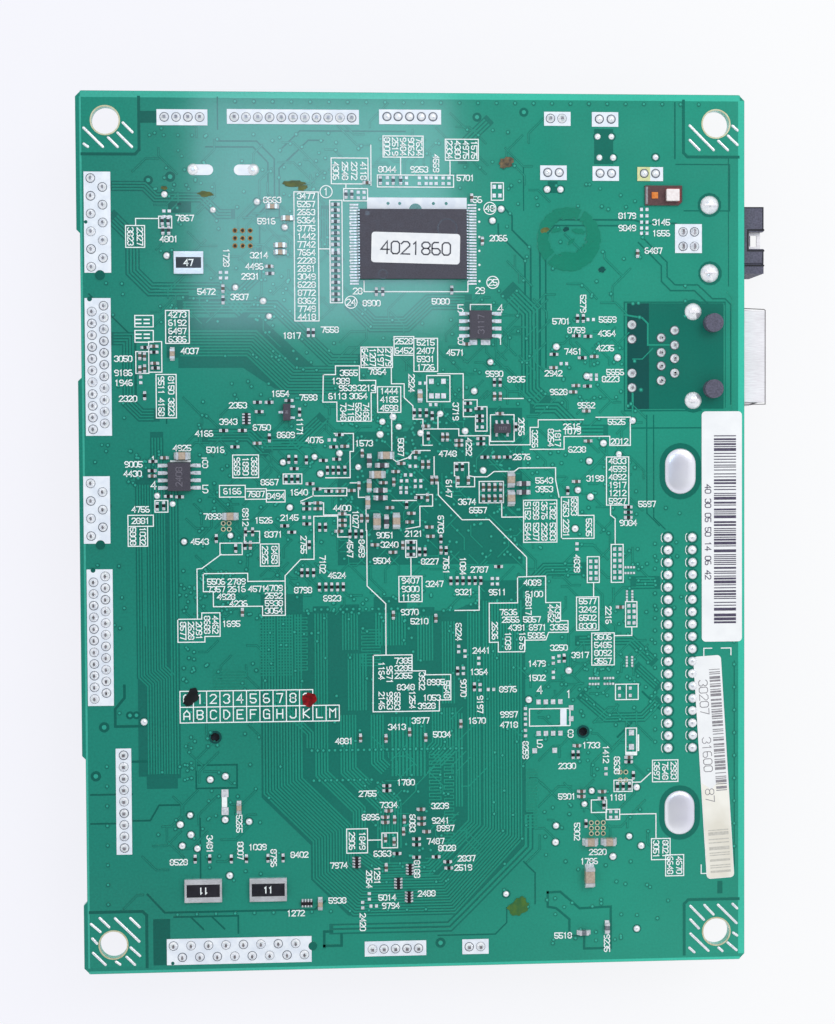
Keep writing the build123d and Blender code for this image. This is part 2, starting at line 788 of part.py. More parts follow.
def lead_outline(body_half, reach, thickness, side):
    """A gull wing from the body's side down to its foot, seen along the chip's edge."""
    middle = chip_standoff + thickness / 2
    low, high = middle - lead_thickness / 2, middle + lead_thickness / 2
    shoulder = body_half + (reach - lead_foot - body_half) * 0.4
    heel = reach - lead_foot
    outline = [
        (body_half, high),
        (shoulder + lead_thickness / 2, high),
        (heel + lead_thickness, lead_thickness),
        (reach, lead_thickness),
        (reach, 0.0),
        (heel, 0.0),
        (shoulder - lead_thickness / 2, low),
        (body_half, low),
    ]
    return [(side * u, v) for u, v in outline]


def gull_leads(label, centre, rows, across, body_half, reach, thickness, width):
    """All the leads of one chip. rows holds (side, offsets along the edge)."""
    cx, cy = place(*centre)
    with BuildPart() as leads:
        for side, offsets in rows:
            if across == "x":
                planes = [
                    Plane(origin=(cx, cy + o, solder_side), x_dir=(1, 0, 0), z_dir=(0, -1, 0))
                    for o in offsets
                ]
            else:
                planes = [
                    Plane(origin=(cx + o, cy, solder_side), x_dir=(0, 1, 0), z_dir=(1, 0, 0))
                    for o in offsets
                ]
            with BuildSketch(*planes):
                with BuildLine():
                    Polyline(*lead_outline(body_half, reach, thickness, side), close=True)
                make_face()
            extrude(amount=width / 2, both=True)
    save(leads, label)


def even(count, pitch):
    """Offsets of evenly spaced leads about the chip's middle."""
    return [pitch * (i - (count - 1) / 2) for i in range(count)]


chip_body("flash_chip_body", flash_centre, flash_body, flash_thickness)
flash_offsets = even(flash_lead_count, flash_lead_pitch)
gull_leads(
    "flash_chip_leads", flash_centre, [(1, flash_offsets), (-1, flash_offsets)], "x",
    flash_body[0] / 2, flash_reach, flash_thickness, flash_lead_width,
)
small_offsets = even(4, small_chip_lead_pitch)
for name, centre in (("eeprom_chip", eeprom_centre), ("driver_chip", driver_centre)):
    chip_body(f"{name}_body", centre, small_chip_body, small_chip_thickness)
    gull_leads(
        f"{name}_leads", centre, [(1, small_offsets), (-1, small_offsets)], "x",
        small_chip_body[0] / 2, small_chip_reach, small_chip_thickness, small_chip_lead_width,
    )
chip_body("regulator_body", regulator_centre, regulator_body, sot_thickness)
gull_leads(
    "regulator_leads", regulator_centre,
    [(1, even(3, regulator_lead_pitch)), (-1, even(2, 2 * regulator_lead_pitch))], "y",
    regulator_body[1] / 2, sot_reach, sot_thickness, sot_lead_width,
)
chip_body("transistor_body", transistor_centre, transistor_body, sot_thickness)
gull_leads(
    "transistor_leads", transistor_centre, [(1, even(2, transistor_lead_pitch)), (-1, [0.0])], "x",
    transistor_body[0] / 2, sot_reach, sot_thickness, sot_lead_width,
)


# ================================================================ stickers
def sticker(label, plane_height, centre, size, thickness, corner, turn):
    """A thin sticker with clipped corners, turned about its own middle."""
    with BuildPart() as sheet:
        with BuildSketch(Plane.XY.offset(plane_height)) as outline:
            with Locations(Location((*place(*centre), 0), (0, 0, turn))):
                Rectangle(*size)
            chamfer(outline.vertices(), length=corner)
        extrude(amount=thickness)
    save(sheet, label)


sticker_centre = (flash_centre[0] + sticker_offset[0], flash_centre[1] + sticker_offset[1])
flash_top = solder_side + chip_standoff + flash_thickness
sticker(
    "flash_chip_sticker", flash_top, sticker_centre, sticker_size,
    sticker_thickness, sticker_corner, sticker_turn,
)
sticker(
    "address_label", solder_side, (board_width - address_label_inset, address_label_y), address_label_size,
    label_thickness, label_corner, 0.0,
)
sticker(
    "serial_label", solder_side, (board_width - serial_label_inset, serial_label_y), serial_label_size,
    label_thickness, label_corner, serial_label_turn,
)


# ================================================================ chip resistors and capacitors
def chips(label, size, along_x, along_y):
    """Small ceramic chips soldered flat on the board, lying along X or along Y."""
    length, width, height = size
    with BuildPart() as group:
        with BuildSketch(solder_plane):
            if along_x:
                with Locations(*places(along_x)):
                    Rectangle(length, width)
            if along_y:
                with Locations(*places(along_y)):
                    Rectangle(width, length)
        extrude(amount=height)
    save(group, label)


address_resistors = row((43.95, 131.9), (0, -0.98), 8) + row((43.95, 123.6), (0, -1.0), 9)
chips(
    "chip_resistors",
    resistor_chip,
    address_resistors + [
        (12.55, 88.1), (12.4, 86.5), (15.1, 82.1), (17.0, 82.0), (24.6, 93.3), (27.8, 93.3), (26.5, 90.5),
        (30.4, 98.1), (32.4, 98.1), (30.7, 96.5), (35.8, 98.4), (36.6, 86.7), (39.3, 84.1), (38.7, 80.7),
        (38.7, 79.8), (38.7, 77.2), (34.9, 76.9), (36.1, 75.8), (44.4, 92.5), (43.4, 90.4), (41.6, 88.1),
        (43.9, 88.3), (40.5, 83.2), (42.5, 82.8), (58.0, 81.6), (66.55, 97.8), (66.55, 96.6), (68.5, 96.9),
        (68.6, 95.6), (68.6, 94.8), (68.8, 91.7), (68.8, 90.8), (69.5, 88.5), (73.4, 88.5), (71.8, 69.55),
        (52.2, 31.75), (52.2, 30.9), (57.3, 22.4), (57.3, 21.4), (53.9, 19.9), (57.3, 19.2), (60.7, 19.2),
        (62.7, 18.3), (62.9, 17.2), (94.5, 79.7), (94.5, 78.8), (94.5, 77.9), (85.5, 109.4), (87.5, 109.3),
        (86.5, 105.6), (81.6, 106.2), (87.4, 100.7), (94.5, 35.2), (89.8, 28.9), (56.6, 72.9), (56.6, 73.9),
        (56.6, 71.8), (12.9, 106.7), (13.1, 104.0), (11.4, 107.5), (32.7, 120.1),
    ],
    [
        (11.25, 99.3), (32.4, 92.0), (37.6, 96.4), (38.7, 88.2), (35.2, 84.9), (36.2, 84.9), (37.2, 84.9),
        (35.7, 88.3), (36.9, 88.3), (42.3, 86.4), (43.3, 86.4), (44.2, 86.4), (45.3, 86.4), (40.9, 76.6),
        (41.9, 76.6), (46.1, 75.4), (47.1, 75.4), (48.1, 75.4), (37.8, 68.8), (38.75, 68.8), (39.8, 68.8),
        (40.8, 66.3), (41.9, 66.3), (42.9, 66.3), (43.9, 66.3), (44.9, 66.3), (39.1, 73.6), (23.2, 74.8),
        (26.5, 73.1), (28.2, 75.9), (29.4, 75.9), (28.1, 73.6), (57.3, 96.2), (58.3, 96.2), (59.4, 96.2),
        (60.4, 95.7), (59.7, 92.2), (71.2, 101.4), (72.2, 101.4), (74.9, 93.7), (64.6, 86.9), (65.6, 86.9),
        (55.9, 80.4), (58.1, 72.2), (59.05, 72.2), (61.8, 74.4), (62.7, 72.4), (63.5, 67.15), (64.6, 67.15),
        (65.6, 67.15), (66.7, 67.15), (67.7, 67.15), (68.7, 67.15), (64.6, 51.5), (67.5, 48.7),
        (19.1, 19.6), (21.6, 19.6), (25.3, 19.5), (27.9, 19.5), (31.6, 19.5), (34.2, 19.5), (83.9, 82.6),
        (83.2, 53.5), (84.7, 36.6), (85.6, 36.6), (95.3, 32.8), (92.5, 30.95), (93.5, 30.95), (94.6, 30.95),
        (90.1, 27.7), (86.95, 24.5), (24.7, 115.6), (13.2, 80.4), (14.3, 80.5), (39.2, 110.0), (40.05, 110.0),
        (14.5, 129.0), (15.5, 129.0), (14.6, 127.4), (15.6, 127.4), (45.8, 133.6), (46.8, 133.6),
        (51.7, 136.0), (53.9, 136.0), (55.2, 136.0), (50.9, 117.0), (52.0, 117.0), (63.9, 117.3),
        (85.7, 112.4), (86.7, 112.4),
    ],
)
chips(
    "chip_capacitors",
    capacitor_chip,
    [
        (14.5, 88.7), (12.4, 85.6), (12.9, 107.7), (13.0, 104.8), (30.3, 91.1), (45.3, 90.5), (44.4, 82.8),
        (46.4, 82.9), (40.6, 80.8), (40.6, 79.8), (44.8, 78.9), (44.8, 77.8), (44.8, 76.9), (44.2, 75.9),
        (53.0, 79.9), (56.7, 78.9), (56.4, 77.4), (57.6, 89.4), (55.0, 87.5), (54.05, 86.1), (51.9, 84.2),
        (59.3, 93.9), (65.0, 91.4), (65.0, 90.6), (72.1, 96.0), (71.5, 88.5), (66.4, 108.0), (59.8, 76.5),
        (60.0, 74.9), (50.4, 73.5), (53.5, 72.2), (52.5, 27.4), (51.9, 26.3), (51.9, 25.4), (58.1, 27.55),
        (58.2, 26.0), (58.2, 25.0), (59.05, 23.65), (88.6, 105.8), (81.5, 103.9), (85.4, 100.8), (84.9, 99.7),
        (87.2, 96.4), (87.5, 91.2), (85.4, 84.2), (89.8, 30.1), (86.15, 30.2), (86.15, 29.3), (94.5, 36.0),
        (32.6, 121.3), (85.4, 38.2), (93.05, 62.3), (49.4, 135.6),
    ],
    [
        (29.0, 73.6), (48.3, 89.3), (47.7, 83.7), (53.7, 84.3), (59.5, 81.6), (58.7, 87.3), (59.7, 87.3),
        (60.3, 84.6), (61.1, 84.6), (64.8, 84.5), (66.6, 84.5), (62.2, 92.0), (63.0, 92.0), (71.2, 99.0),
        (72.2, 99.0), (69.2, 83.3), (70.2, 83.3), (71.2, 83.3), (72.2, 83.3), (69.2, 81.3), (70.2, 81.3),
        (71.2, 81.3), (72.2, 81.3), (55.2, 73.4), (61.8, 72.5), (53.5, 61.3), (60.85, 60.7), (47.7, 40.1),
        (52.1, 39.95), (56.2, 41.0), (59.0, 40.0), (65.1, 42.3), (53.5, 25.8), (55.2, 25.8), (55.05, 23.7),
        (51.9, 22.6), (53.4, 21.95), (52.0, 17.5), (27.55, 62.1), (10.5, 106.1), (11.3, 106.0), (10.5, 103.7),
        (11.3, 103.9), (69.2, 125.7), (67.4, 133.1), (96.2, 123.6), (24.7, 117.5), (48.1, 78.1), (49.1, 78.1),
    ],
)
chips(
    "medium_chip_capacitors",
    medium_chip,
    [(33.2, 131.5), (35.8, 129.5), (34.5, 124.9), (34.5, 123.7)],
    [(16.0, 106.4), (26.7, 28.4), (40.55, 11.4), (58.3, 99.1), (49.45, 83.7), (49.2, 80.8)],
)
chips(
    "ferrite_beads",
    medium_chip,
    [(51.7, 87.2), (51.4, 82.9), (51.4, 81.6), (76.2, 83.9), (76.2, 82.4)],
    [(49.5, 88.0), (52.4, 77.5)],
)
chips("chip_fuses", medium_chip, [(86.5, 5.4)], [(90.6, 6.2)])
chips(
    "large_chip_capacitors",
    large_chip,
    [(52.4, 88.9), (50.9, 85.6), (25.6, 78.6), (17.5, 89.0), (87.7, 21.3), (90.95, 21.3)],
    [(50.75, 77.5), (54.1, 77.6), (74.0, 84.6), (74.0, 81.4)],
)
chips("output_capacitor", output_chip, [], [(87.5, 15.3)])
chips(
    "resistor_arrays",
    array_chip,
    [(38.25, 11.55)],
    [(28.5, 95.3), (46.9, 18.5), (56.15, 17.1), (54.1, 14.7), (55.95, 12.3)],
)

# The current-sense resistors have their metal caps along their two long sides.
sense_resistors = [((18.9, 121.9), 5.0, 3.8), ((20.45, 14.15), 6.4, 4.0), ((31.6, 14.1), 6.4, 4.0)]
with BuildPart() as sense_bodies:
    with BuildSketch(solder_plane):
        for centre, length, width in sense_resistors:
            with Locations(place(*centre)):
                Rectangle(length, sense_element)
    extrude(amount=sense_height)
save(sense_bodies, "sense_resistor_bodies")

with BuildPart() as sense_caps:
    with BuildSketch(solder_plane):
        for centre, length, width in sense_resistors:
            cap = (width - sense_element) / 2
            offset = (width - cap) / 2
            with Locations(place(centre[0], centre[1] + offset), place(centre[0], centre[1] - offset)):
                Rectangle(length, cap)
    extrude(amount=sense_cap_height)
save(sense_caps, "sense_resistor_caps")

# ================================================================ indicator by the USB socket
with BuildPart() as indicator_base:
    with BuildSketch(solder_plane):
        with BuildLine():
            Polyline(
                *places([
                    (indicator_left, indicator_low),
                    (indicator_right - indicator_cut, indicator_low),
                    (indicator_right, indicator_low + indicator_cut),
                    (indicator_right, indicator_high),
                    (indicator_left, indicator_high),
                ]),
                close=True,
            )
        make_face()
    extrude(amount=indicator_base_height)
save(indicator_base, "indicator_base")

with BuildPart() as indicator_lens:
    with BuildSketch(Plane.XY.offset(solder_side + indicator_base_height)):
        with Locations(place(*indicator_lens_centre)):
            Rectangle(indicator_lens_size, indicator_lens_size)
    extrude(amount=indicator_lens_height)
save(indicator_lens, "indicator_lens")

with BuildPart() as indicator_block:
    with BuildSketch(Plane.XY.offset(solder_side + indicator_base_height)):
        with Locations(place(*indicator_block_centre)):
            Rectangle(*indicator_block_size)
    extrude(amount=indicator_block_height)
save(indicator_block, "indicator_block")

# ================================================================ component side
with BuildPart() as can_bases:
    for x, y in places(can_places):
        half = can_base / 2
        with BuildSketch(component_plane):
            with BuildLine():
                Polyline(
                    (x - half, y - half),
                    (x + half, y - half),
                    (x + half, y + half - can_base_cut),
                    (x + half - can_base_cut, y + half),
                    (x - half + can_base_cut, y + half),
                    (x - half, y + half - can_base_cut),
                    close=True,
                )
            make_face()
        extrude(amount=-can_base_height)
save(can_bases, "capacitor_bases")

can_top = component_side - can_base_height
with BuildPart() as cans:
    for x, y in places(can_places):
        with BuildSketch(Plane(origin=(x, y, 0), x_dir=(1, 0, 0), z_dir=(0, -1, 0))):
            with BuildLine():
                Polyline(
                    (0.0, can_top),
                    (can_radius, can_top),
                    (can_radius, can_top - can_height + can_edge),
                    (can_radius - can_edge, can_top - can_height),
                    (0.0, can_top - can_height),
                    close=True,
                )
            make_face()
        revolve(axis=Axis((x, y, 0), (0, 0, 1)))
save(cans, "capacitor_cans")


def flat_block(label, spots, size, height, corner=0.0):
    """Equal rectangular pieces that hang flat under the board, with their corners cut where asked."""
    with BuildPart() as block:
        with BuildSketch(component_plane) as outline:
            with Locations(*places(spots)):
                Rectangle(*size)
            if corner:
                chamfer(outline.vertices(), length=corner)
        extrude(amount=-height)
    save(block, label)


flat_block("processor_substrate", [processor_centre], (processor_size, processor_size), processor_substrate)
with BuildPart() as processor_cover:
    with BuildSketch(Plane.XY.offset(component_side - processor_substrate)):
        with Locations(place(*processor_centre)):
            Rectangle(processor_cap, processor_cap)
    extrude(amount=-processor_cap_height, taper=processor_draft)
save(processor_cover, "processor_cover")
flat_block("memory_chips", memory_places, memory_size, memory_height)
flat_block("power_chips", power_chip_places, (power_chip_size, power_chip_size), power_chip_height)
flat_block("power_coils", coil_places, (coil_size, coil_size), coil_height, coil_corner)
crystal_corner = crystal_size[1] / 2 - crystal_rim
with BuildPart() as crystal_skirt:
    with BuildSketch(component_plane):
        with Locations(place(*crystal_centre)):
            RectangleRounded(*crystal_size, crystal_corner)
    extrude(amount=-crystal_rim)
save(crystal_skirt, "crystal_rim")
crystal_can = (crystal_size[0] - 2 * crystal_rim, crystal_size[1] - 2 * crystal_rim)
with BuildPart() as crystal:
    with BuildSketch(Plane.XY.offset(component_side - crystal_rim)):
        with Locations(place(*crystal_centre)):
            RectangleRounded(*crystal_can, crystal_corner - crystal_rim)
    extrude(amount=-(crystal_height - crystal_rim))
save(crystal, "crystal_can")

link_start = place(link_left_x, link_y)
link_end = place(link_right_x, link_y)
link_top = solder_side + tail_stand_out
link_low = component_side - link_drop
with BuildPart() as wire_link:
    with BuildLine() as link_path:
        Polyline(
            (link_start[0], link_start[1], link_top),
            (link_start[0], link_start[1], link_low),
            (link_end[0], link_end[1], link_low),
            (link_end[0], link_end[1], link_top),
        )
    with BuildSketch(Plane.XY.offset(link_top)):
        with Locations(link_start):
            RegularPolygon(link_wire_radius, link_wire_sides)
    sweep(path=link_path.wire(), transition=Transition.RIGHT)
save(wire_link, "wire_link")
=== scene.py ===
"""Dresses a printer's logic board: its solder mask, copper work, silk print, solder, chips and labels.

Everything is drawn in millimetres from the board's lower left corner, with height measured from the
solder side, and is put into the frame in metres when a piece is finished.
"""

import json
import logging
import math
import random
from dataclasses import dataclass, field
from enum import Enum
from typing import Optional, Sequence

import bmesh
import bpy
from mathutils import Matrix, Vector


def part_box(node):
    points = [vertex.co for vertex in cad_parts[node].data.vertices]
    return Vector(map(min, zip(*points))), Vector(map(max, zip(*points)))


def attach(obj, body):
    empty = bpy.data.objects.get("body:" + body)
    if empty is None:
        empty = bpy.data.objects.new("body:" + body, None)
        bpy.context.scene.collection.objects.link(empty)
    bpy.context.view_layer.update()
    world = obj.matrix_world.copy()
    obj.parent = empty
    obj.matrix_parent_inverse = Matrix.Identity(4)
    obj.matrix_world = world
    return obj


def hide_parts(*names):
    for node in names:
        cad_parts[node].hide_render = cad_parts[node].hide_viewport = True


log = logging.getLogger("logic_board")

Point = tuple[float, float]
Colour = tuple[float, float, float]
Screen = tuple[int, int, int]
Socket = bpy.types.NodeSocket

MM = 0.001
BOARD_WIDTH, BOARD_LENGTH = 115.0, 151.0

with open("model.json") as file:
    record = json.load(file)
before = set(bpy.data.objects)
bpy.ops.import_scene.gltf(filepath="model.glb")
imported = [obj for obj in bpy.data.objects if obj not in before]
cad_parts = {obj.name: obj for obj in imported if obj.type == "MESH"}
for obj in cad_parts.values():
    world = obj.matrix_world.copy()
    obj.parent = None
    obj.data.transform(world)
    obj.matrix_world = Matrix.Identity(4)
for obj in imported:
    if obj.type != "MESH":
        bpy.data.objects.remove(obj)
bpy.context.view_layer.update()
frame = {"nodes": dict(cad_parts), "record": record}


# ---------------------------------------------------------------------------------------- the bench
@dataclass(frozen=True)
class Bench:
    """Where the board lies in the frame."""

    low_x: float
    low_y: float
    solder_z: float
    thickness: float

    @classmethod
    def from_frame(cls) -> "Bench":
        """Reads the board's place from its CAD node."""
        low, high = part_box("circuit_board")
        return cls(low[0] / MM, low[1] / MM, high[2] / MM, (high[2] - low[2]) / MM)

    def matrix(self) -> Matrix:
        """The step from board millimetres to frame metres."""
        return Matrix.Scale(MM, 4) @ Matrix.Translation((self.low_x, self.low_y, self.solder_z))


BENCH = Bench.from_frame()


# ---------------------------------------------------------------------------------------- finishes
def linear(red: int, green: int, blue: int) -> Colour:
    """Turns a screen colour of 0 to 255 into the linear one that the shader takes.

    Args:
        red: red from 0 to 255.
        green: green from 0 to 255.
        blue: blue from 0 to 255.

    Returns:
        The three linear values.
    """

    def one(value: int) -> float:
        share = value / 255
        return share / 12.92 if share <= 0.04045 else ((share + 0.055) / 1.055) ** 2.4

    return one(red), one(green), one(blue)


class Pattern(Enum):
    """How a finish varies over its surface."""

    MOTTLED = "mottled"
    BRUSHED = "brushed"
    SPECKLED = "speckled"


class Graph:
    """A material's node tree, with the few calls that the finishes need."""

    def __init__(self, name: str) -> None:
        """Starts an empty tree with its shader and output."""
        self.material = bpy.data.materials.new(name)
        self.material.use_nodes = True
        self.nodes = self.material.node_tree.nodes
        self.links = self.material.node_tree.links
        self.nodes.clear()
        self.output = self.nodes.new("ShaderNodeOutputMaterial")
        self.shader = self.nodes.new("ShaderNodeBsdfPrincipled")
        self.link(self.shader.outputs[0], self.output.inputs["Surface"])
        self.place = self.nodes.new("ShaderNodeTexCoord").outputs["Object"]

    def link(self, source: Socket, target: Socket) -> None:
        """Joins two sockets."""
        self.links.new(source, target)

    def shade(self, inputs: dict[str, object]) -> None:
        """Gives some of the shader's inputs a socket or a plain value each."""
        for name, value in inputs.items():
            if isinstance(value, Socket):
                self.link(value, self.shader.inputs[name])
            else:
                self.shader.inputs[name].default_value = value

    def axis(self, vector: Socket, name: str) -> Socket:
        """Takes one coordinate, X, Y or Z, out of a vector."""
        node = self.nodes.new("ShaderNodeSeparateXYZ")
        self.link(vector, node.inputs["Vector"])
        return node.outputs[name]

    def noise(self, scale: float, detail: float = 3.0, stretch: Optional[Sequence[float]] = None) -> Socket:
        """Adds a noise texture on Object coordinates.

        Args:
            scale: how many features there are in a metre.
            detail: octaves of finer detail.
            stretch: the scale along each axis, or None for the same all round.

        Returns:
            The noise factor's socket.
        """
        place = self.place
        if stretch:
            mapping = self.nodes.new("ShaderNodeMapping")
            mapping.inputs["Scale"].default_value = stretch
            self.link(place, mapping.inputs["Vector"])
            place = mapping.outputs["Vector"]
        texture = self.nodes.new("ShaderNodeTexNoise")
        texture.inputs["Scale"].default_value = scale
        texture.inputs["Detail"].default_value = detail
        self.link(place, texture.inputs["Vector"])
        return texture.outputs["Fac"]

    def ranged(self, source: Socket, low: float, high: float, to_low: float, to_high: float) -> Socket:
        """Stretches a value from one range to another and keeps it inside the second.

        Args:
            source: the value's socket.
            low: the value that becomes to_low.
            high: the value that becomes to_high.
            to_low: the new lowest value.
            to_high: the new highest value.

        Returns:
            The stretched value's socket.
        """
        node = self.nodes.new("ShaderNodeMapRange")
        set_range(node, low, high, to_low, to_high)
        self.link(source, node.inputs["Value"])
        return node.outputs["Result"]

    def mixed(self, factor: Socket, first: object, second: object) -> Socket:
        """Mixes two colours by a factor.

        Args:
            factor: the share of the second colour.
            first: a linear colour or a colour socket.
            second: a linear colour or a colour socket.

        Returns:
            The mixed colour's socket.
        """
        node = self.nodes.new("ShaderNodeMix")
        node.data_type = "RGBA"
        self.link(factor, node.inputs[0])
        for value, target in ((first, node.inputs[6]), (second, node.inputs[7])):
            if isinstance(value, Socket):
                self.link(value, target)
            else:
                target.default_value = (*value, 1.0)
        return node.outputs[2]

    def bump(self, height: Socket, strength: float, distance: float, normal: Optional[Socket] = None) -> None:
        """Roughens the surface by a height.

        Args:
            height: the height's socket.
            strength: how much of it shows, from 0 to 1.
            distance: the height of 1, in metres.
            normal: the normal that is roughened, or None for the shading normal.
        """
        node = self.nodes.new("ShaderNodeBump")
        node.inputs["Strength"].default_value = strength
        node.inputs["Distance"].default_value = distance
        self.link(height, node.inputs["Height"])
        if normal:
            self.link(normal, node.inputs["Normal"])
        self.link(node.outputs["Normal"], self.shader.inputs["Normal"])


def set_range(node: bpy.types.Node, low: float, high: float, to_low: float, to_high: float) -> None:
    """Sets the two ranges of a node that maps one onto the other."""
    for name, value in (("From Min", low), ("From Max", high), ("To Min", to_low), ("To Max", to_high)):
        node.inputs[name].default_value = value


class Paint:
    """What all finishes share: each has one material, made once and found again by its name."""

    name: str

    def build(self) -> bpy.types.Material:
        """Makes the material, once.

        Returns:
            The material with this finish's name.
        """
        ready = bpy.data.materials.get(self.name)
        if ready:
            return ready
        graph = Graph(self.name)
        self.mix(graph)
        return graph.material

    def mix(self, graph: Graph) -> None:
        """Fills in the material's nodes."""
        raise NotImplementedError


# How the noise textures are used: the bands of their values that show, and how fine each one is.
TONE_BAND = (0.35, 0.65)
WEAR_BAND = (0.3, 0.7)
WEAR_SHARE, GRAIN_SHARE = 0.21, 2.7
PLAIN_DETAIL, SPECKLE_DETAIL = 3.0, 8.0
BRUSH_STRETCH = (1.0, 14.0, 1.0)
LEAST_ROUGHNESS = 0.02
COAT_ROUGHNESS = 0.1


@dataclass(frozen=True)
class Finish(Paint):
    """One finish: two close colours that a pattern mixes, with its gloss and its roughness."""

    name: str
    colour: Screen
    second: Screen
    roughness: float
    metallic: float = 0.0
    grain: float = 900.0
    pattern: Pattern = Pattern.MOTTLED
    bump: float = 0.15
    depth: float = 0.00002
    coat: float = 0.0
    spread: float = 0.08

    def mix(self, graph: Graph) -> None:
        """Fills in the two colours, the uneven gloss and the grain."""
        stretch = BRUSH_STRETCH if self.pattern is Pattern.BRUSHED else None
        detail = SPECKLE_DETAIL if self.pattern is Pattern.SPECKLED else PLAIN_DETAIL
        tone = graph.ranged(graph.noise(self.grain, detail, stretch), *TONE_BAND, 0.0, 1.0)
        base = graph.mixed(tone, linear(*self.colour), linear(*self.second))
        low = max(self.roughness - self.spread, LEAST_ROUGHNESS)
        wear = graph.noise(self.grain * WEAR_SHARE, 4.0)
        rough = graph.ranged(wear, *WEAR_BAND, low, self.roughness + self.spread)
        graph.shade({
            "Base Color": base, "Roughness": rough, "Metallic": self.metallic,
            "Coat Weight": self.coat, "Coat Roughness": COAT_ROUGHNESS,
        })
        graph.bump(graph.noise(self.grain * GRAIN_SHARE, detail), self.bump, self.depth)


@dataclass(frozen=True)
class MaskFinish(Paint):
    """Glossy green solder mask, duller and darker to the left, with cut edges of laminate."""

    name: str
    left: Screen
    right: Screen
    edge: Screen = (120, 176, 140)
    gloss: float = 0.2
    # Where the left colour ends and the right one is reached, in metres from the frame's middle.
    fade: Point = (-0.055, 0.03)
    coat_roughness: float = 0.09

    def mix(self, graph: Graph) -> None:
        """Fills in the green from left to right, its clouds, its weave, the pale cut edges and the coat."""
        across = graph.ranged(graph.axis(graph.place, "X"), *self.fade, 0.0, 1.0)
        base = graph.mixed(across, linear(*self.left), linear(*self.right))
        cloud = graph.ranged(graph.noise(48.0, 4.0), 0.35, 0.7, 0.0, 0.22)
        base = graph.mixed(cloud, base, linear(*(int(c * 0.72) for c in self.left)))
        weave = graph.ranged(graph.noise(2600.0, 2.0), *WEAR_BAND, 0.0, 0.1)
        base = graph.mixed(weave, base, linear(*(min(int(c * 1.35), 255) for c in self.right)))
        flat = graph.nodes.new("ShaderNodeNewGeometry").outputs["True Normal"]
        upright = graph.axis(flat, "Z")
        steep = graph.nodes.new("ShaderNodeMath")
        steep.operation = "ABSOLUTE"
        graph.link(upright, steep.inputs[0])
        side = graph.ranged(steep.outputs[0], 0.6, 0.4, 0.0, 1.0)
        base = graph.mixed(side, base, linear(*self.edge))
        rough = graph.ranged(graph.noise(90.0, 5.0), *WEAR_BAND, self.gloss - 0.05, self.gloss + 0.09)
        graph.shade({
            "Base Color": base, "Roughness": rough, "Specular IOR Level": 0.2,
            "Coat Weight": 1.0, "Coat Roughness": self.coat_roughness, "Coat Normal": flat,
        })
        graph.bump(graph.noise(1500.0, 3.0), 0.12, 0.00002, flat)


MASK = MaskFinish("green_mask_over_copper", (26, 127, 111), (34, 148, 125), (110, 214, 188))
POUR_DARK = MaskFinish("bare_laminate_under_mask", (5, 92, 82), (6, 112, 96))
POUR_DEEP = MaskFinish("deep_laminate_under_mask", (5, 70, 68), (5, 80, 76))
POUR_SOFT = MaskFinish("fine_gaps_under_mask", (16, 102, 92), (20, 121, 104))
CORNER_MASK = MaskFinish("corner_mask", (26, 132, 114), (34, 152, 128))
TRACE = MaskFinish("copper_trace_under_mask", (24, 130, 113), (32, 150, 126))
# The border's pale green: no copper under the mask, plus painted light from the floor shining through the
# laminate.
EDGE_BAND = MaskFinish("board_border_mask", (60, 168, 148), (60, 196, 168), (140, 220, 196))
VIA_CAP = MaskFinish("covered_via", (44, 156, 138), (54, 172, 148))
SILK = Finish("silk_print", (248, 252, 252), (232, 240, 240), 0.5, grain=2600.0, bump=0.3, spread=0.12)
SILK_BOX = Finish("silk_panel", (240, 244, 250), (226, 232, 242), 0.42, grain=700.0, bump=0.2)
SOLDER = Finish("solder", (252, 252, 254), (230, 233, 240), 0.27, 0.6, 1400.0, bump=0.4, depth=0.00005)
SOLDER_POOL = Finish("solder_pool", (250, 250, 254), (226, 224, 238), 0.3, 0.6, 90.0, bump=0.15, depth=0.0001)
SOLDER_DULL = Finish(
    "dull_solder", (238, 240, 245), (198, 203, 211), 0.4, 0.35, 2600.0, bump=0.6, depth=0.00004,
)
# Dark grey rings round the feet of solder joints and domes: painted shade.
SOLDER_RIM_SHADE = Finish("solder_rim_shade", (110, 116, 126), (78, 84, 94), 0.45, 0.5, 2600.0, bump=0.6, depth=0.00004)
TIN = Finish("tinned_lead", (240, 241, 245), (208, 210, 216), 0.34, 0.75, 2200.0, Pattern.BRUSHED)
PIN = Finish("pin_end", (176, 172, 178), (138, 132, 138), 0.35, 0.8, 2200.0)
GOLD = Finish("gilt_contact", (232, 190, 96), (214, 166, 74), 0.25, 1.0, 1800.0)
COPPER = Finish("copper_ring", (170, 124, 66), (136, 92, 46), 0.35, 0.8, 2400.0, bump=0.3)
PALE_COPPER = Finish("pale_copper_ring", (216, 214, 186), (196, 190, 150), 0.4, 0.3, 1400.0)
HOLE = Finish("hole_shadow", (26, 30, 30), (14, 18, 18), 0.7)
MOULD = Finish(
    "moulded_epoxy", (70, 66, 78), (56, 52, 63), 0.45, grain=5200.0, pattern=Pattern.SPECKLED, bump=0.5,
)
CHIP_END = Finish("chip_end", (230, 231, 236), (192, 194, 201), 0.38, 0.35, 2600.0, bump=0.4)
YELLOWED = Finish("yellowed_print", (224, 226, 168), (206, 210, 150), 0.5, grain=1400.0)
MOULD_MARK = Finish("chip_marking", (120, 116, 128), (100, 96, 108), 0.6, grain=3000.0)
MOULD_POLISH = Finish("polished_mould", (64, 62, 74), (54, 52, 62), 0.2, grain=3000.0)
RESISTOR = Finish("resistor_glaze", (30, 28, 34), (20, 18, 24), 0.25, grain=3000.0, coat=0.3)
BROWN = Finish("capacitor_brown", (106, 88, 78), (84, 68, 60), 0.45, grain=3600.0, pattern=Pattern.SPECKLED)
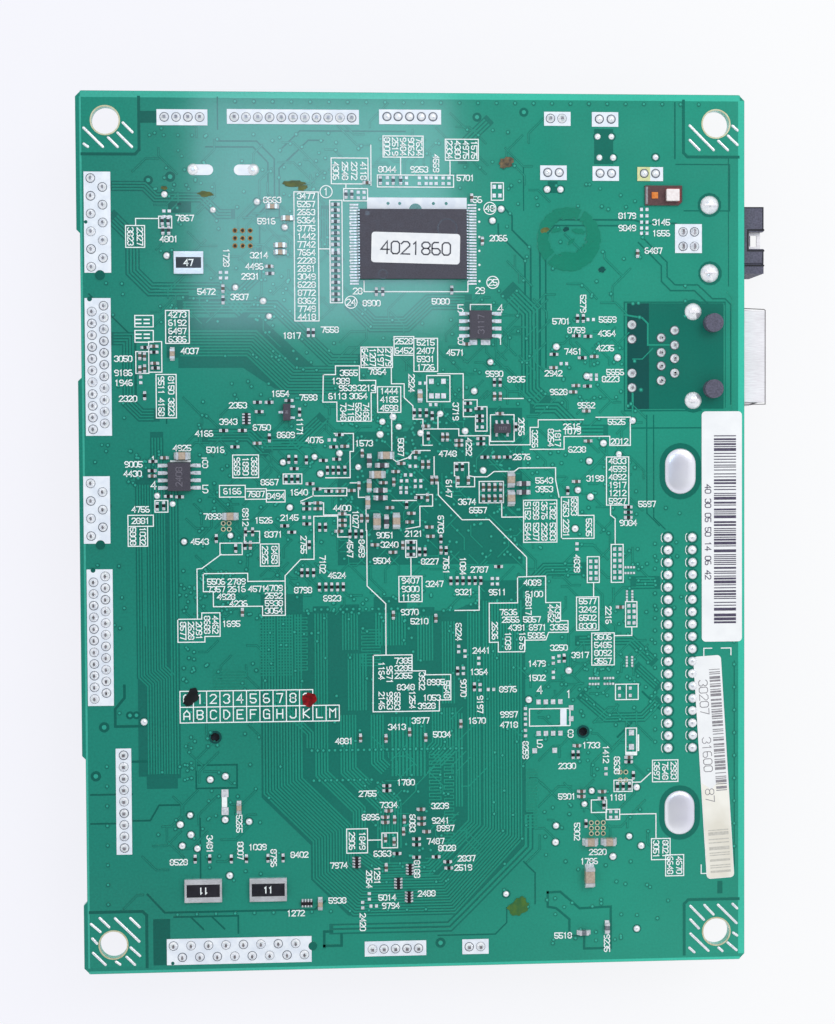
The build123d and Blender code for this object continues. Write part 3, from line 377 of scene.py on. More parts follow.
TAN = Finish("capacitor_tan", (190, 172, 154), (166, 148, 131), 0.45, grain=3600.0, pattern=Pattern.SPECKLED)
FERRITE = Finish("ferrite_grey", (72, 72, 80), (52, 52, 60), 0.5, grain=3600.0, pattern=Pattern.SPECKLED)
FUSE = Finish("fuse_ceramic", (120, 128, 134), (92, 100, 108), 0.5, grain=3600.0)
ELEMENT = Finish("resistor_element", (26, 26, 38), (16, 16, 26), 0.3, grain=1500.0, coat=0.3)
BLACK_PLASTIC = Finish(
    "black_nylon", (96, 94, 114), (70, 68, 84), 0.5, grain=4200.0, pattern=Pattern.SPECKLED,
)
IVORY_PLASTIC = Finish(
    "ivory_nylon", (226, 220, 200), (212, 204, 182), 0.45, grain=900.0, pattern=Pattern.SPECKLED,
)
SHIELD = Finish(
    "plated_shield", (250, 246, 249), (236, 230, 234), 0.42, 0.45, 700.0, Pattern.BRUSHED, bump=0.2,
)
SHIELD_BEND_SHADE = Finish("shield_bend_shade", (84, 76, 82), (58, 52, 58), 0.5, 0.4, 1800.0)
LABEL = Finish("label_face", (248, 248, 248), (241, 241, 242), 0.35, grain=300.0, bump=0.1, depth=0.00004)
LABEL_WORN = Finish(
    "worn_label_film", (246, 242, 232), (228, 222, 208), 0.5, grain=160.0, bump=0.3, depth=0.00006,
)
STICKER = Finish("sticker_face", (240, 240, 241), (232, 233, 236), 0.5, grain=900.0)
LABEL_INK = Finish("label_ink", (84, 76, 100), (62, 56, 78), 0.5, grain=2600.0)
STICKER_INK = Finish("sticker_ink", (72, 72, 84), (48, 48, 58), 0.5, grain=2600.0)
LABEL_FAINT = Finish("faint_label_ink", (206, 202, 192), (190, 186, 176), 0.6, grain=2600.0)
FADED_INK = Finish("faded_ink", (156, 152, 156), (128, 124, 130), 0.6, grain=2600.0)
BLACK_INK = Finish("black_marker", (6, 10, 18), (2, 4, 8), 0.35, grain=1800.0)
RED_INK = Finish("red_marker", (150, 2, 14), (96, 0, 8), 0.3, grain=1400.0)
FLUX = Finish("flux_residue", (98, 104, 30), (30, 58, 34), 0.4, grain=700.0, bump=0.6, depth=0.0001)
FLUX_BROWN = Finish("brown_residue", (122, 98, 62), (26, 30, 20), 0.4, grain=1300.0, bump=0.7, depth=0.0001)
FLUX_GREEN = Finish("green_residue", (72, 112, 40), (46, 100, 48), 0.35, grain=900.0, bump=0.5, depth=0.0001)
STAMP = MaskFinish("stamp_tint", (14, 121, 100), (18, 133, 107))
PLATE = Finish("indicator_frame", (92, 56, 56), (74, 42, 44), 0.5, grain=2600.0)
AMBER = Finish("amber_resin", (236, 148, 76), (216, 116, 48), 0.15, grain=1800.0, coat=0.6)
WHITE_RESIN = Finish("white_resin", (250, 242, 240), (236, 224, 222), 0.4, grain=1800.0)
RED_SHADOW = Finish("red_painted_shadow", (150, 52, 44), (112, 34, 32), 0.4, grain=1800.0)
LAMP = Finish("lamp_resin", (140, 190, 120), (110, 170, 96), 0.2, grain=700.0, coat=0.5)
ALUMINIUM = Finish("drawn_aluminium", (216, 216, 220), (190, 190, 196), 0.3, 1.0, 900.0, Pattern.BRUSHED)
COIL = Finish("pressed_powder", (84, 84, 88), (64, 64, 68), 0.6, grain=3600.0, pattern=Pattern.SPECKLED)
PACKAGE = Finish("package_laminate", (34, 96, 62), (26, 80, 50), 0.35, grain=2200.0, coat=0.3)
CHROME = Finish("crystal_case", (214, 214, 218), (192, 192, 198), 0.18, 1.0, 700.0, Pattern.BRUSHED)

SLOT_FINISH: dict[str, Paint] = {
    "solder_mask": MASK,
    "black_plastic": BLACK_PLASTIC,
    "ivory_plastic": IVORY_PLASTIC,
    "shield_steel": SHIELD,
    "gold_contact": GOLD,
    "tinned_copper": TIN,
    "chip_mould": MOULD,
    "sticker_paper": STICKER,
    "label_film": LABEL,
    "resistor_ceramic": RESISTOR,
    "capacitor_ceramic": BROWN,
    "large_capacitor_ceramic": TAN,
    "ferrite": FERRITE,
    "fuse_body": FUSE,
    "sense_element": ELEMENT,
    "indicator_plate": PLATE,
    "indicator_lens": AMBER,
    "indicator_block": WHITE_RESIN,
    "lamp_green": LAMP,
    "can_aluminium": ALUMINIUM,
    "coil_powder": COIL,
    "processor_laminate": PACKAGE,
    "crystal_steel": CHROME,
}


# ---------------------------------------------------------------------------------------- pieces
def add_piece(
    name: str,
    mesh: bmesh.types.BMesh,
    finishes: Sequence[Paint],
    replaces: Sequence[str] = (),
    smooth: bool = False,
) -> None:
    """Puts a finished bmesh into the frame as one piece.

    Args:
        name: the piece's name.
        mesh: the shape in board millimetres; it is freed.
        finishes: its finishes, in the order of its faces' material numbers.
        replaces: the CAD nodes that it stands for.
        smooth: whether its faces are shaded smooth.
    """
    mesh.transform(BENCH.matrix())
    data = bpy.data.meshes.new(name)
    mesh.to_mesh(data)
    mesh.free()
    for finish in finishes:
        data.materials.append(finish.build())
    if smooth:
        data.polygons.foreach_set("use_smooth", [True] * len(data.polygons))
    piece = bpy.data.objects.new(name, data)
    bpy.context.scene.collection.objects.link(piece)
    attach(piece, "root")
    if replaces:
        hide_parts(*replaces)
    log.info("%s: %d faces", name, len(data.polygons))


def add_solder(name: str, mesh: bmesh.types.BMesh, finish: Paint) -> None:
    """Puts a smooth piece of solder into the frame."""
    add_piece(name, mesh, [finish], smooth=True)


@dataclass(frozen=True)
class Span:
    """The box round one solid, in board millimetres."""

    x: float
    y: float
    length: float
    width: float
    low: float
    high: float

    @property
    def along_x(self) -> bool:
        """Whether its longer side lies along X."""
        return self.length >= self.width


def solids_of(node: str) -> list[Span]:
    """Finds the separate solids of a CAD node.

    Args:
        node: the node's name.

    Returns:
        The box of each solid, from left to right and upwards.
    """
    shape = bmesh.new()
    shape.from_mesh(frame["nodes"][node].data)
    bmesh.ops.remove_doubles(shape, verts=shape.verts, dist=1e-6)
    seen: set[int] = set()
    spans: list[Span] = []
    shape.verts.ensure_lookup_table()
    for first in shape.verts:
        if first.index in seen:
            continue
        queue = [first]
        seen.add(first.index)
        found = []
        while queue:
            vert = queue.pop()
            found.append(vert.co / MM)
            for edge in vert.link_edges:
                other = edge.other_vert(vert)
                if other.index not in seen:
                    seen.add(other.index)
                    queue.append(other)
        low = [min(p[i] for p in found) for i in range(3)]
        high = [max(p[i] for p in found) for i in range(3)]
        spans.append(
            Span(
                (low[0] + high[0]) / 2 - BENCH.low_x,
                (low[1] + high[1]) / 2 - BENCH.low_y,
                high[0] - low[0],
                high[1] - low[1],
                low[2] - BENCH.solder_z,
                high[2] - BENCH.solder_z,
            )
        )
    shape.free()
    return sorted(spans, key=lambda s: (round(s.x, 2), round(s.y, 2)))


# ---------------------------------------------------------------------------------------- flat work
GLYPHS = {
    "0": "10 30 41 45 36 16 05 01 10",
    "1": "15 26 20",
    "2": "05 16 36 45 44 00 40",
    "3": "05 16 36 45 44 33 42 41 30 10 01",
    "4": "30 36 02 42",
    "5": "46 06 03 33 42 41 30 10 01",
    "6": "36 16 05 01 10 30 41 42 33 03",
    "7": "06 46 20",
    "8": "13 04 05 16 36 45 44 33 13 02 01 10 30 41 42 33",
    "9": "10 30 41 45 36 16 05 04 13 43",
    "A": "00 04 26 44 40/02 42",
    "B": "00 06 36 45 44 33 42 41 30 00/03 33",
    "C": "41 30 10 01 05 16 36 45",
    "D": "00 06 26 44 42 20 00",
    "E": "40 00 06 46/03 33",
    "F": "00 06 46/03 33",
    "G": "45 36 16 05 01 10 40 43 23",
    "H": "00 06/40 46/03 43",
    "J": "01 10 30 41 46",
    "K": "00 06/46 03 40",
    "L": "06 00 40",
    "M": "00 06 24 46 40",
}
GLYPH_ADVANCE = 5.0
GLYPH_UNITS = 6.0


def shifted(points: Sequence[Point], offset: float, closed: bool = False) -> list[Point]:
    """Moves a path sideways, keeping its corners sharp.

    Args:
        points: the path.
        offset: how far to the left of its direction it moves.
        closed: whether its end joins its start.

    Returns:
        The moved path.
    """
    moved = []
    last = len(points) - 1
    for i, (x, y) in enumerate(points):
        before = points[i - 1] if i > 0 or closed else points[0]
        after = points[(i + 1) % len(points)] if i < last or closed else points[last]
        into = Vector((x - before[0], y - before[1]))
        out = Vector((after[0] - x, after[1] - y))
        into = into.normalized() if into.length else out.normalized()
        out = out.normalized() if out.length else into
        bisector = Vector((-(into.y + out.y), into.x + out.x))
        if bisector.length < 1e-6:
            bisector = Vector((-into.y, into.x))
        bisector.normalize()
        reach = max(bisector.dot(Vector((-into.y, into.x))), 0.45)
        moved.append((x + bisector.x * offset / reach, y + bisector.y * offset / reach))
    return moved


def reached(before: Point, end: Point, extra: float) -> Point:
    """Moves the end of a line on past itself."""
    run = Vector((end[0] - before[0], end[1] - before[1]))
    run.normalize()
    return end[0] + run.x * extra, end[1] + run.y * extra


def stadium(x: float, y: float, length: float, width: float, steps: int = 12) -> list[Point]:
    """Lists the corners of an upright oval with straight sides.

    Args:
        x: its middle.
        y: its middle.
        length: its size along X, twice its ends' radius.
        width: its size along Y.
        steps: how many steps make each round end.

    Returns:
        Its corners.
    """
    radius = length / 2
    straight = width / 2 - radius
    points = []
    for end, start in ((1, 0.0), (-1, 180.0)):
        for i in range(steps + 1):
            angle = math.radians(start + 180.0 * i / steps)
            points.append((x + radius * math.cos(angle), y + end * straight + radius * math.sin(angle)))
    return points


# Shapes of one layer stand at slightly different heights inside this range, in millimetres.
LIFT_RANGE = 0.012
GOLDEN = 0.618034


class Layer:
    """Flat shapes laid on one face of the board, raised together into a thin closed layer."""

    def __init__(self, height: float, underside: bool = False, base: float = 0.0) -> None:
        """Starts an empty layer.

        Args:
            height: how far it stands off the board.
            underside: whether it lies on the component side.
            base: the height of what it is printed on.
        """
        self.mesh = bmesh.new()
        self.height = height
        self.underside = underside
        self.shapes = 0
        self.ground = -BENCH.thickness - base if underside else base

    @property
    def level(self) -> float:
        """The next shape's height: each a hair above the last, so that crossings don't coincide."""
        self.shapes += 1
        lift = LIFT_RANGE * (self.shapes * GOLDEN % 1.0)
        return self.ground - lift if self.underside else self.ground + lift

    def polygon(self, points: Sequence[Point], paint: int = 0) -> None:
        """Adds one flat face with corners at the given points."""
        level = self.level
        face = self.mesh.faces.new([self.mesh.verts.new((x, y, level)) for x, y in points])
        face.material_index = paint

    def block(self, x0: float, y0: float, x1: float, y1: float, paint: int = 0) -> None:
        """Adds a filled rectangle between two corners."""
        self.polygon([(x0, y0), (x1, y0), (x1, y1), (x0, y1)], paint)

    def pad(self, x: float, y: float, length: float, width: float, paint: int = 0) -> None:
        """Adds a filled rectangle about its middle."""
        self.block(x - length / 2, y - width / 2, x + length / 2, y + width / 2, paint)

    def stroke(self, a: Point, b: Point, width: float, paint: int = 0) -> None:
        """Adds one straight stroke with square ends that reach half its width past its points."""
        run = Vector((b[0] - a[0], b[1] - a[1]))
        if run.length < 1e-6:
            return
        along = run.normalized() * width / 2
        side = Vector((-along.y, along.x))
        start = Vector(a) - along
        end = Vector(b) + along
        self.polygon([tuple(start - side), tuple(end - side), tuple(end + side), tuple(start + side)], paint)

    def path(self, points: Sequence[Point], width: float, closed: bool = False, paint: int = 0) -> None:
        """Adds a line through the points, mitred at its corners."""
        points = [p for i, p in enumerate(points) if i == 0 or math.dist(p, points[i - 1]) > 1e-4]
        if len(points) < 3:
            self.stroke(points[0], points[-1], width, paint)
            return
        half = width / 2
        if not closed:
            points[0] = reached(points[1], points[0], half)
            points[-1] = reached(points[-2], points[-1], half)
        level = self.level
        sides = [shifted(points, half, closed), shifted(points, -half, closed)]
        rows = [[self.mesh.verts.new((*side[i], level)) for side in sides] for i in range(len(points))]
        pairs = list(zip(rows, rows[1:])) + ([(rows[-1], rows[0])] if closed else [])
        for (left, right), (next_left, next_right) in pairs:
            face = self.mesh.faces.new([right, next_right, next_left, left])
            face.material_index = paint

    def frame_box(self, x0: float, y0: float, x1: float, y1: float, width: float = 0.17) -> None:
        """Adds an outlined rectangle."""
        self.path([(x0, y0), (x1, y0), (x1, y1), (x0, y1)], width, closed=True)

    def bundle(self, points: Sequence[Point], count: int, pitch: float, width: float, paint: int = 0) -> None:
        """Adds several lines side by side along one path.

        Args:
            points: the middle of the bundle.
            count: how many lines it has.
            pitch: the step from line to line.
            width: each line's width.
            paint: the material number.
        """
        for i in range(count):
            self.path(shifted(points, pitch * (i - (count - 1) / 2)), width, paint=paint)

    def disc(self, x: float, y: float, radius: float, sides: int = 8, paint: int = 0) -> None:
        """Adds a filled disc."""
        self.oval(x, y, radius, radius, sides, paint)

    def oval(self, x: float, y: float, rx: float, ry: float, sides: int = 24, paint: int = 0) -> None:
        """Adds a filled oval."""
        matrix = Matrix.Translation((x, y, self.level)) @ Matrix.Diagonal((rx, ry, 1.0, 1.0))
        made = bmesh.ops.create_circle(self.mesh, cap_ends=True, radius=1.0, segments=sides, matrix=matrix)
        for face in made["verts"][0].link_faces:
            face.material_index = paint

    def ring(self, x: float, y: float, outer: float, inner: float, sides: int = 16, paint: int = 0) -> None:
        """Adds a flat ring."""
        matrix = Matrix.Translation((x, y, self.level))
        rim = bmesh.ops.create_circle(self.mesh, radius=outer, segments=sides, matrix=matrix)["verts"]
        hole = bmesh.ops.create_circle(self.mesh, radius=inner, segments=sides, matrix=matrix)["verts"]
        for i in range(sides):
            j = (i + 1) % sides
            face = self.mesh.faces.new([rim[i], rim[j], hole[j], hole[i]])
            face.material_index = paint

    def holed_block(self, x0: float, y0: float, x1: float, y1: float, hole: Point, radius: float) -> None:
        """Adds a filled rectangle with a round hole.

        Args:
            x0: its lowest X.
            y0: its lowest Y.
            x1: its highest X.
            y1: its highest Y.
            hole: the hole's middle.
            radius: the hole's radius.
        """
        corners = [math.atan2(y - hole[1], x - hole[0]) % math.tau for x in (x0, x1) for y in (y0, y1)]
        angles = sorted(corners + [math.tau * i / 40 for i in range(40)])
        level = self.level
        rows = []
        for angle in angles:
            cos, sin = math.cos(angle), math.sin(angle)
            reach_x = ((x1 if cos > 0 else x0) - hole[0]) / cos if abs(cos) > 1e-9 else math.inf
            reach_y = ((y1 if sin > 0 else y0) - hole[1]) / sin if abs(sin) > 1e-9 else math.inf
            reach = min(reach_x, reach_y)
            rows.append([
                self.mesh.verts.new((hole[0] + r * cos, hole[1] + r * sin, level)) for r in (radius, reach)
            ])
        for (inner, outer), (next_inner, next_outer) in zip(rows, rows[1:] + rows[:1]):
            self.mesh.faces.new([inner, outer, next_outer, next_inner])

    def blot(self, x: float, y: float, rx: float, ry: float, draw: random.Random, turn: float = 0.0) -> None:
        """Adds a ragged spot.

        Args:
            x: its middle.
            y: its middle.
            rx: half its length.
            ry: half its width.
            draw: the source of its ragged edge.
            turn: how far it is turned, in degrees.
        """
        sides = 18
        angle = math.radians(turn)
        points = []
        for i in range(sides):
            a = math.tau * i / sides
            reach = draw.uniform(0.72, 1.12)
            u, v = rx * math.cos(a) * reach, ry * math.sin(a) * reach
            points.append((
                x + u * math.cos(angle) - v * math.sin(angle), y + u * math.sin(angle) + v * math.cos(angle)
            ))
        self.polygon(points)

    def text(
        self, words: str, x: float, y: float, height: float, turn: float = 0.0, weight: float = 0.16,
        paint: int = 0,
    ) -> None:
        """Adds a line of plain characters about its middle.

        Args:
            words: the characters.
            x: the middle of the line.
            y: the middle of the line.
            height: the characters' height.
            turn: how far the line is turned, in degrees.
            weight: the strokes' width.
            paint: the material number.
        """
        unit = height / GLYPH_UNITS
        width = (len(words) * GLYPH_ADVANCE - 1.0) * unit
        cos, sin = math.cos(math.radians(turn)), math.sin(math.radians(turn))
        mirror = -1.0 if self.underside else 1.0
        for i, letter in enumerate(words):
            if letter not in GLYPHS:
                continue
            for line in GLYPHS[letter].split("/"):
                points = []
                for pair in line.split():
                    u = ((i * GLYPH_ADVANCE + int(pair[0])) * unit - width / 2) * mirror
                    v = (int(pair[1]) - GLYPH_UNITS / 2) * unit
                    points.append((x + u * cos - v * sin, y + u * sin + v * cos))
                self.path(points, weight, paint=paint)

    def raised(self) -> bmesh.types.BMesh:
        """Raises every flat face into a thin closed slab.

        Returns:
            The finished bmesh.
        """
        step = -self.height if self.underside else self.height
        made = bmesh.ops.extrude_face_region(self.mesh, geom=self.mesh.faces[:], use_keep_orig=True)
        new = [part for part in made["geom"] if isinstance(part, bmesh.types.BMVert)]
        bmesh.ops.translate(self.mesh, verts=new, vec=(0.0, 0.0, step))
        bmesh.ops.recalc_face_normals(self.mesh, faces=self.mesh.faces)
        return self.mesh

    def lay(
        self, name: str, *finishes: Paint, slot: str = "solder_mask", place: Optional[Matrix] = None
    ) -> None:
        """Raises the layer and puts it into the frame as one piece.

        Args:
            name: the piece's name.
            finishes: its finishes, in the order of its shapes' material numbers.
            slot: the record's material slot; not used.
            place: the step from the layer's own middle to the board, or None when it has none.
        """
        mesh = self.raised()
        if place is not None:
            mesh.transform(place)
        add_piece(name, mesh, finishes)

    def pour(self, into: bmesh.types.BMesh) -> None:
        """Raises the layer and adds it to another bmesh."""
        data = bpy.data.meshes.new("poured")
        mesh = self.raised()
        mesh.to_mesh(data)
        mesh.free()
        into.from_mesh(data)


class Stamp:
    """A small shape that is repeated many times in one piece."""

    def __init__(self, shape: bmesh.types.BMesh) -> None:
        """Keeps the shape as a mesh that can be pressed into others."""
        bmesh.ops.recalc_face_normals(shape, faces=shape.faces)
        self.data = bpy.data.meshes.new("stamp")
        shape.to_mesh(self.data)
        shape.free()

    def press(
        self, into: bmesh.types.BMesh, x: float, y: float, z: float = 0.0, turn: float = 0.0,
        scale: float = 1.0,
    ) -> None:
        """Adds one copy.

        Args:
            into: the bmesh that takes it.
            x: where its middle goes.
            y: where its middle goes.
            z: the height that it stands on.
            turn: how far it is turned, in degrees.
            scale: its size.
        """
        spin = Matrix.Rotation(math.radians(turn), 4, "Z")
        matrix = Matrix.Translation((x, y, z)) @ spin @ Matrix.Scale(scale, 4)
        self.data.transform(matrix)
        into.from_mesh(self.data)
        self.data.transform(matrix.inverted())


def turned_profile(profile: Sequence[Point], steps: int) -> bmesh.types.BMesh:
    """Spins a profile of radius and height round the upright axis.

    Args:
        profile: its points, from the rim to the middle.
        steps: how many steps make the turn.

    Returns:
        The closed shape.
    """
    shape = bmesh.new()
    verts = [shape.verts.new((radius, 0.0, height)) for radius, height in profile]
    edges = [shape.edges.new(pair) for pair in zip(verts, verts[1:])]
    bmesh.ops.spin(
        shape, geom=verts + edges, cent=(0, 0, 0), axis=(0, 0, 1), angle=math.tau, steps=steps, use_merge=True
    )
    bmesh.ops.remove_doubles(shape, verts=shape.verts, dist=1e-5)
    return shape


def stadium_mound(length: float, width: float, steps: Sequence[Point], sides: int) -> Stamp:
    """Heaps a smooth mound on an upright oval.

    Args:
        length: the oval's size along X.
        width: its size along Y.
        steps: each ring's share of the width, and its height.
        sides: how many steps make each round end.

    Returns:
        The mound as a stamp.
    """
    shape = bmesh.new()
    rows = []
    for share, height in steps:
        points = stadium(0.0, 0.0, length * share, width - length * (1.0 - share), sides)
        rows.append([shape.verts.new((x, y, height)) for x, y in points])
    for lower, upper in zip(rows, rows[1:]):
        for i in range(len(lower)):
            j = (i + 1) % len(lower)
            shape.faces.new([lower[i], lower[j], upper[j], upper[i]])
    shape.faces.new(rows[-1])
    return Stamp(shape)


def box_between(
    shape: bmesh.types.BMesh, low: Sequence[float], high: Sequence[float], paint: int = 0
) -> list[bmesh.types.BMVert]:
    """Adds a box to a bmesh.

    Args:
        shape: the bmesh.
        low: one corner.
        high: the corner across from it.
        paint: the material number.

    Returns:
        Its new vertices.
    """
    spans = [sorted(pair) for pair in zip(low, high)]
    size = [last - first for first, last in spans]
    middle = [(first + last) / 2 for first, last in spans]
    matrix = Matrix.Translation(middle) @ Matrix.Diagonal((*size, 1.0))
    verts = bmesh.ops.create_cube(shape, size=1.0, matrix=matrix)["verts"]
    for face in {face for vert in verts for face in vert.link_faces}:
        face.material_index = paint
    return verts


# ---------------------------------------------------------------------------------------- copper work
@dataclass
class CopperWork:
    """What shows through the solder mask: gaps between copper pours, traces, vias and the bare border."""

    draw: random.Random = field(default_factory=lambda: random.Random(41))
    border: float = 1.1
    corner_pad: float = 9.6
    corner_cut: float = 0.7
    hole_inset: float = 5.0
    hole_radius: float = 2.3
    gap_height: float = 0.006
    dark_height: float = 0.02
    short_height: float = 0.034
    deep_height: float = 0.048
    trace_height: float = 0.062
    via_height: float = 0.076
    core_height: float = 0.09
    hole_height: float = 0.104
    gap_margin: float = 0.25
    line_share: float = 0.56

    def border_bands(self) -> None:
        """Lays the pale border without copper round the board, painted brighter as light from the floor that
        shines through the bare laminate.
        """
        layer = Layer(self.gap_height)
        for band in BORDER_BANDS:
            layer.block(*band)
        layer.lay("board_border", EDGE_BAND)

    def corner_pads(self) -> None:
        """Lays the four corner pads, the gaps along their inner sides and the bare rings of their holes."""
        pads, gaps, rings = Layer(self.gap_height), Layer(self.dark_height), Layer(self.via_height)
        near, far, inset = self.border, self.border + self.corner_pad, self.hole_inset
        cut = far - self.corner_cut
        for right in (False, True):
            for top in (False, True):
                low, high, hole, *line = [
                    (BOARD_WIDTH - u if right else u, BOARD_LENGTH - v if top else v)
                    for u, v in (
                        (near, near), (far, far), (inset, inset), (far, near), (far, cut), (cut, far),
                        (near, far),
                    )
                ]
                (x0, x1), (y0, y1) = (sorted(pair) for pair in zip(low, high))
                pads.holed_block(x0, y0, x1, y1, hole, self.hole_radius)
                gaps.path(line, 0.5)
                rings.ring(*hole, self.hole_radius + 0.26, self.hole_radius + 0.01, 40)
        pads.lay("corner_pads", CORNER_MASK)
        gaps.lay("corner_pad_gaps", POUR_DARK)
        rings.lay("mounting_hole_rings", PALE_COPPER, slot="tinned_copper")

    def gaps(self) -> None:
        """Lays the dark bands where no copper lies under the mask, and dark rings round the ovals, the port
        holes and the solder dots.
        """
        soft, dark, deep = Layer(self.gap_height), Layer(self.dark_height), Layer(self.deep_height)
        for points in SOFT_AREAS:
            soft.polygon(points)
        for points, count, pitch in BUNDLES:
            soft.path(points, pitch * count + self.gap_margin)
        soft.lay("fine_gaps", POUR_SOFT)
        for area in DARK_AREAS:
            dark.block(*area)
        for points, width in DARK_LINES:
            dark.path(points, width)
        for x, y, radius in DARK_DISCS:
            dark.disc(x, y, radius, 14)
        for x, y, length, width in SOLDER_OVALS:
            dark.polygon(stadium(x, y, length + 1.9, width + 1.9))
        for x, y in PORT_HOLES:
            dark.disc(x, y, 1.1, 16)
        for x, y in SOLDER_DOTS:
            dark.disc(x, y, 0.8, 12)
        dark.lay("pour_gaps", POUR_DARK)
        deep.block(*DEEP_AREA)
        deep.lay("deep_gaps", POUR_DEEP)

    def traces(self) -> None:
        """Lays the copper lines that stand up faintly under the mask."""
        lines, gaps = Layer(self.trace_height), Layer(self.short_height)
        for points, count, pitch in BUNDLES:
            lines.bundle(points, count, pitch, pitch * self.line_share)
        for fold in SERPENTINES:
            self.serpentine(lines, *fold)
        for points, width in LIGHT_LINES:
            lines.path(points, width)
        for x0, y0, x1, y1, count in CLUTTER_AREAS:
            for _ in range(count):
                self.wander(gaps, lines, (self.draw.uniform(x0, x1), self.draw.uniform(y0, y1)))
        lines.lay("copper_traces", TRACE)
        gaps.lay("short_trace_gaps", POUR_SOFT)

    def wander(self, gaps: Layer, lines: Layer, start: Point) -> None:
        """Draws one short line with a bend, and the gap round it.

        Args:
            gaps: the layer of the gap.
            lines: the layer of the line.
            start: where it starts.
        """
        turn = self.draw.choice((0, 90, 180, 270))
        points = [start]
        margin = 1.5
        for bend in (0, self.draw.choice((-45, 45)), 0):
            turn += bend
            run = self.draw.uniform(0.8, 2.6)
            x, y = points[-1]
            points.append((x + run * math.cos(math.radians(turn)), y + run * math.sin(math.radians(turn))))
        if all(margin < x < BOARD_WIDTH - margin and margin < y < BOARD_LENGTH - margin for x, y in points):
            gaps.path(points, 0.36)
            lines.path(points, 0.17)

    def serpentine(self, layer: Layer, x0: float, y0: float, x1: float, y1: float, turns: int) -> None:
        """Draws a line folded to and fro to make it longer.

        Args:
            layer: the layer it is drawn on.
            x0: its lowest X.
            y0: its lowest Y.
            x1: its highest X.
            y1: its highest Y.
            turns: how many folds it has.
        """
        step = (y1 - y0) / turns
        points: list[Point] = []
        for i in range(turns + 1):
            row = [(x0, y0 + step * i), (x1, y0 + step * i)]
            points += row if i % 2 == 0 else row[::-1]
        layer.path(points, min(step * 0.5, 0.2))

    def vias(self) -> None:
        """Dots the small covered vias over the board."""
        rims, cores = Layer(self.via_height), Layer(self.core_height)
        spots = [
            (x + step_x * i, y + step_y * i) for x, y, step_x, step_y, count in VIA_ROWS for i in range(count)
        ]
        for x0, y0, x1, y1, count in VIA_AREAS:
            for _ in range(count):
                spots.append((self.draw.uniform(x0, x1), self.draw.uniform(y0, y1)))
        for x, y in spots:
            rims.disc(x, y, self.draw.uniform(0.34, 0.42), 8)
            cores.disc(x - 0.02, y + 0.03, 0.22, 6)
        for x, y, radius in DARK_DISCS:
            if radius < 1.0:
                cores.disc(x, y, radius * 0.45, 10)
        rims.lay("via_rims", POUR_SOFT)
        cores.lay("via_cores", VIA_CAP)

    def heat_vias(self) -> None:
        """Draws the bare copper-ringed holes under the power chips, their middles dark with painted shade."""
        rings, holes = Layer(self.core_height), Layer(self.hole_height)
        for block, (x0, y0, step_x, step_y, across, down) in enumerate(HEAT_VIAS):
            paint = min(block, 1)
            for i in range(across):
                for j in range(down):
                    rings.disc(x0 + step_x * i, y0 - step_y * j, 0.42, 14, paint)
                    holes.disc(x0 + step_x * i, y0 - step_y * j, 0.26, 12, paint)
        rings.lay("heat_via_rings", COPPER, PALE_COPPER, slot="tinned_copper")
        # The hole discs, dark in both finishes, are painted shade inside the open holes.
        holes.lay("heat_via_holes", HOLE, POUR_DEEP)

    def locating_holes(self) -> None:
        """Lines the two small locating holes with a pale rim, and fills them with dark tubes that are painted
        shade.
        """
        rims, shade_tubes = Layer(self.via_height), bmesh.new()
        tube = Stamp(turned_profile([(0.74, 0.0), (0.74, -1.5), (0.0, -1.5)], 20))
        for x, y in LOCATING_HOLES:
            rims.ring(x, y, 1.14, 0.76, 24)
            rims.ring(x, y, 1.24, 1.15, 24, 1)
            # Each tube is painted shade: the dark inside of an open hole, in the ferrite grey finish.
            tube.press(shade_tubes, x, y)
        rims.lay("locating_hole_rims", POUR_DEEP, TRACE)
        add_piece("locating_hole_painted_shade", shade_tubes, [FERRITE])

    def build(self) -> None:
        """Builds every part of the copper work."""
        self.border_bands()
        self.corner_pads()
        self.gaps()
        self.traces()
        self.vias()
        self.heat_vias()
        self.locating_holes()


# The lost parallel socket's two columns of filled holes: (x, y), each column from the top.
PORT_TOP, PORT_STEP, PORT_ROWS = 74.3, 2.165, 18
PORT_HOLES = [(x, PORT_TOP - PORT_STEP * i) for x in (101.5, 105.8) for i in range(PORT_ROWS)]
LOCATING_HOLES = [(22.7, 40.6), (86.5, 40.6)]
BORDER_BANDS = [
    (0.8, 0.05, 114.2, 0.495), (0.8, 149.9, 114.2, 150.95), (113.9, 1.0, 114.95, 150.0),
    (0.65, 1.0, 0.99, 150.0),
]
# Copper under the mask: (x0, y0, x1, y1) areas, (points, width) lines and (x, y, radius) discs.
DARK_AREAS = [
    (11.8, 1.3, 14.7, 9.3), (110.2, 11.7, 111.1, 13.9), (10.9, 145.6, 13.6, 147.6),
    (88.7, 139.0, 92.0, 145.0), (80.6, 134.0, 82.3, 136.0), (15.5, 130.4, 19.4, 133.6),
    (98.2, 96.7, 111.3, 115.0),
]
DEEP_AREA = (94.4, 96.7, 98.2, 115.0)
SOFT_AREAS = [
    [(30.6, 62.0), (30.6, 30.0), (39.0, 21.6), (39.0, 15.6), (45.4, 9.2), (64.4, 9.2), (76.4, 21.5),
      (76.4, 64.0), (69.0, 64.0), (64.0, 62.0)],
    [(17.0, 112.6), (31.0, 112.6), (41.0, 103.4), (44.0, 103.4), (44.0, 100.4), (33.4, 100.4),
      (28.0, 104.0), (17.0, 104.0)], [(9.6, 84.0), (9.6, 34.0), (16.8, 34.0), (16.8, 84.0)],
    [(44.0, 70.0), (76.0, 70.0), (76.0, 97.0), (60.0, 97.0), (56.0, 93.0), (44.0, 93.0)],
]
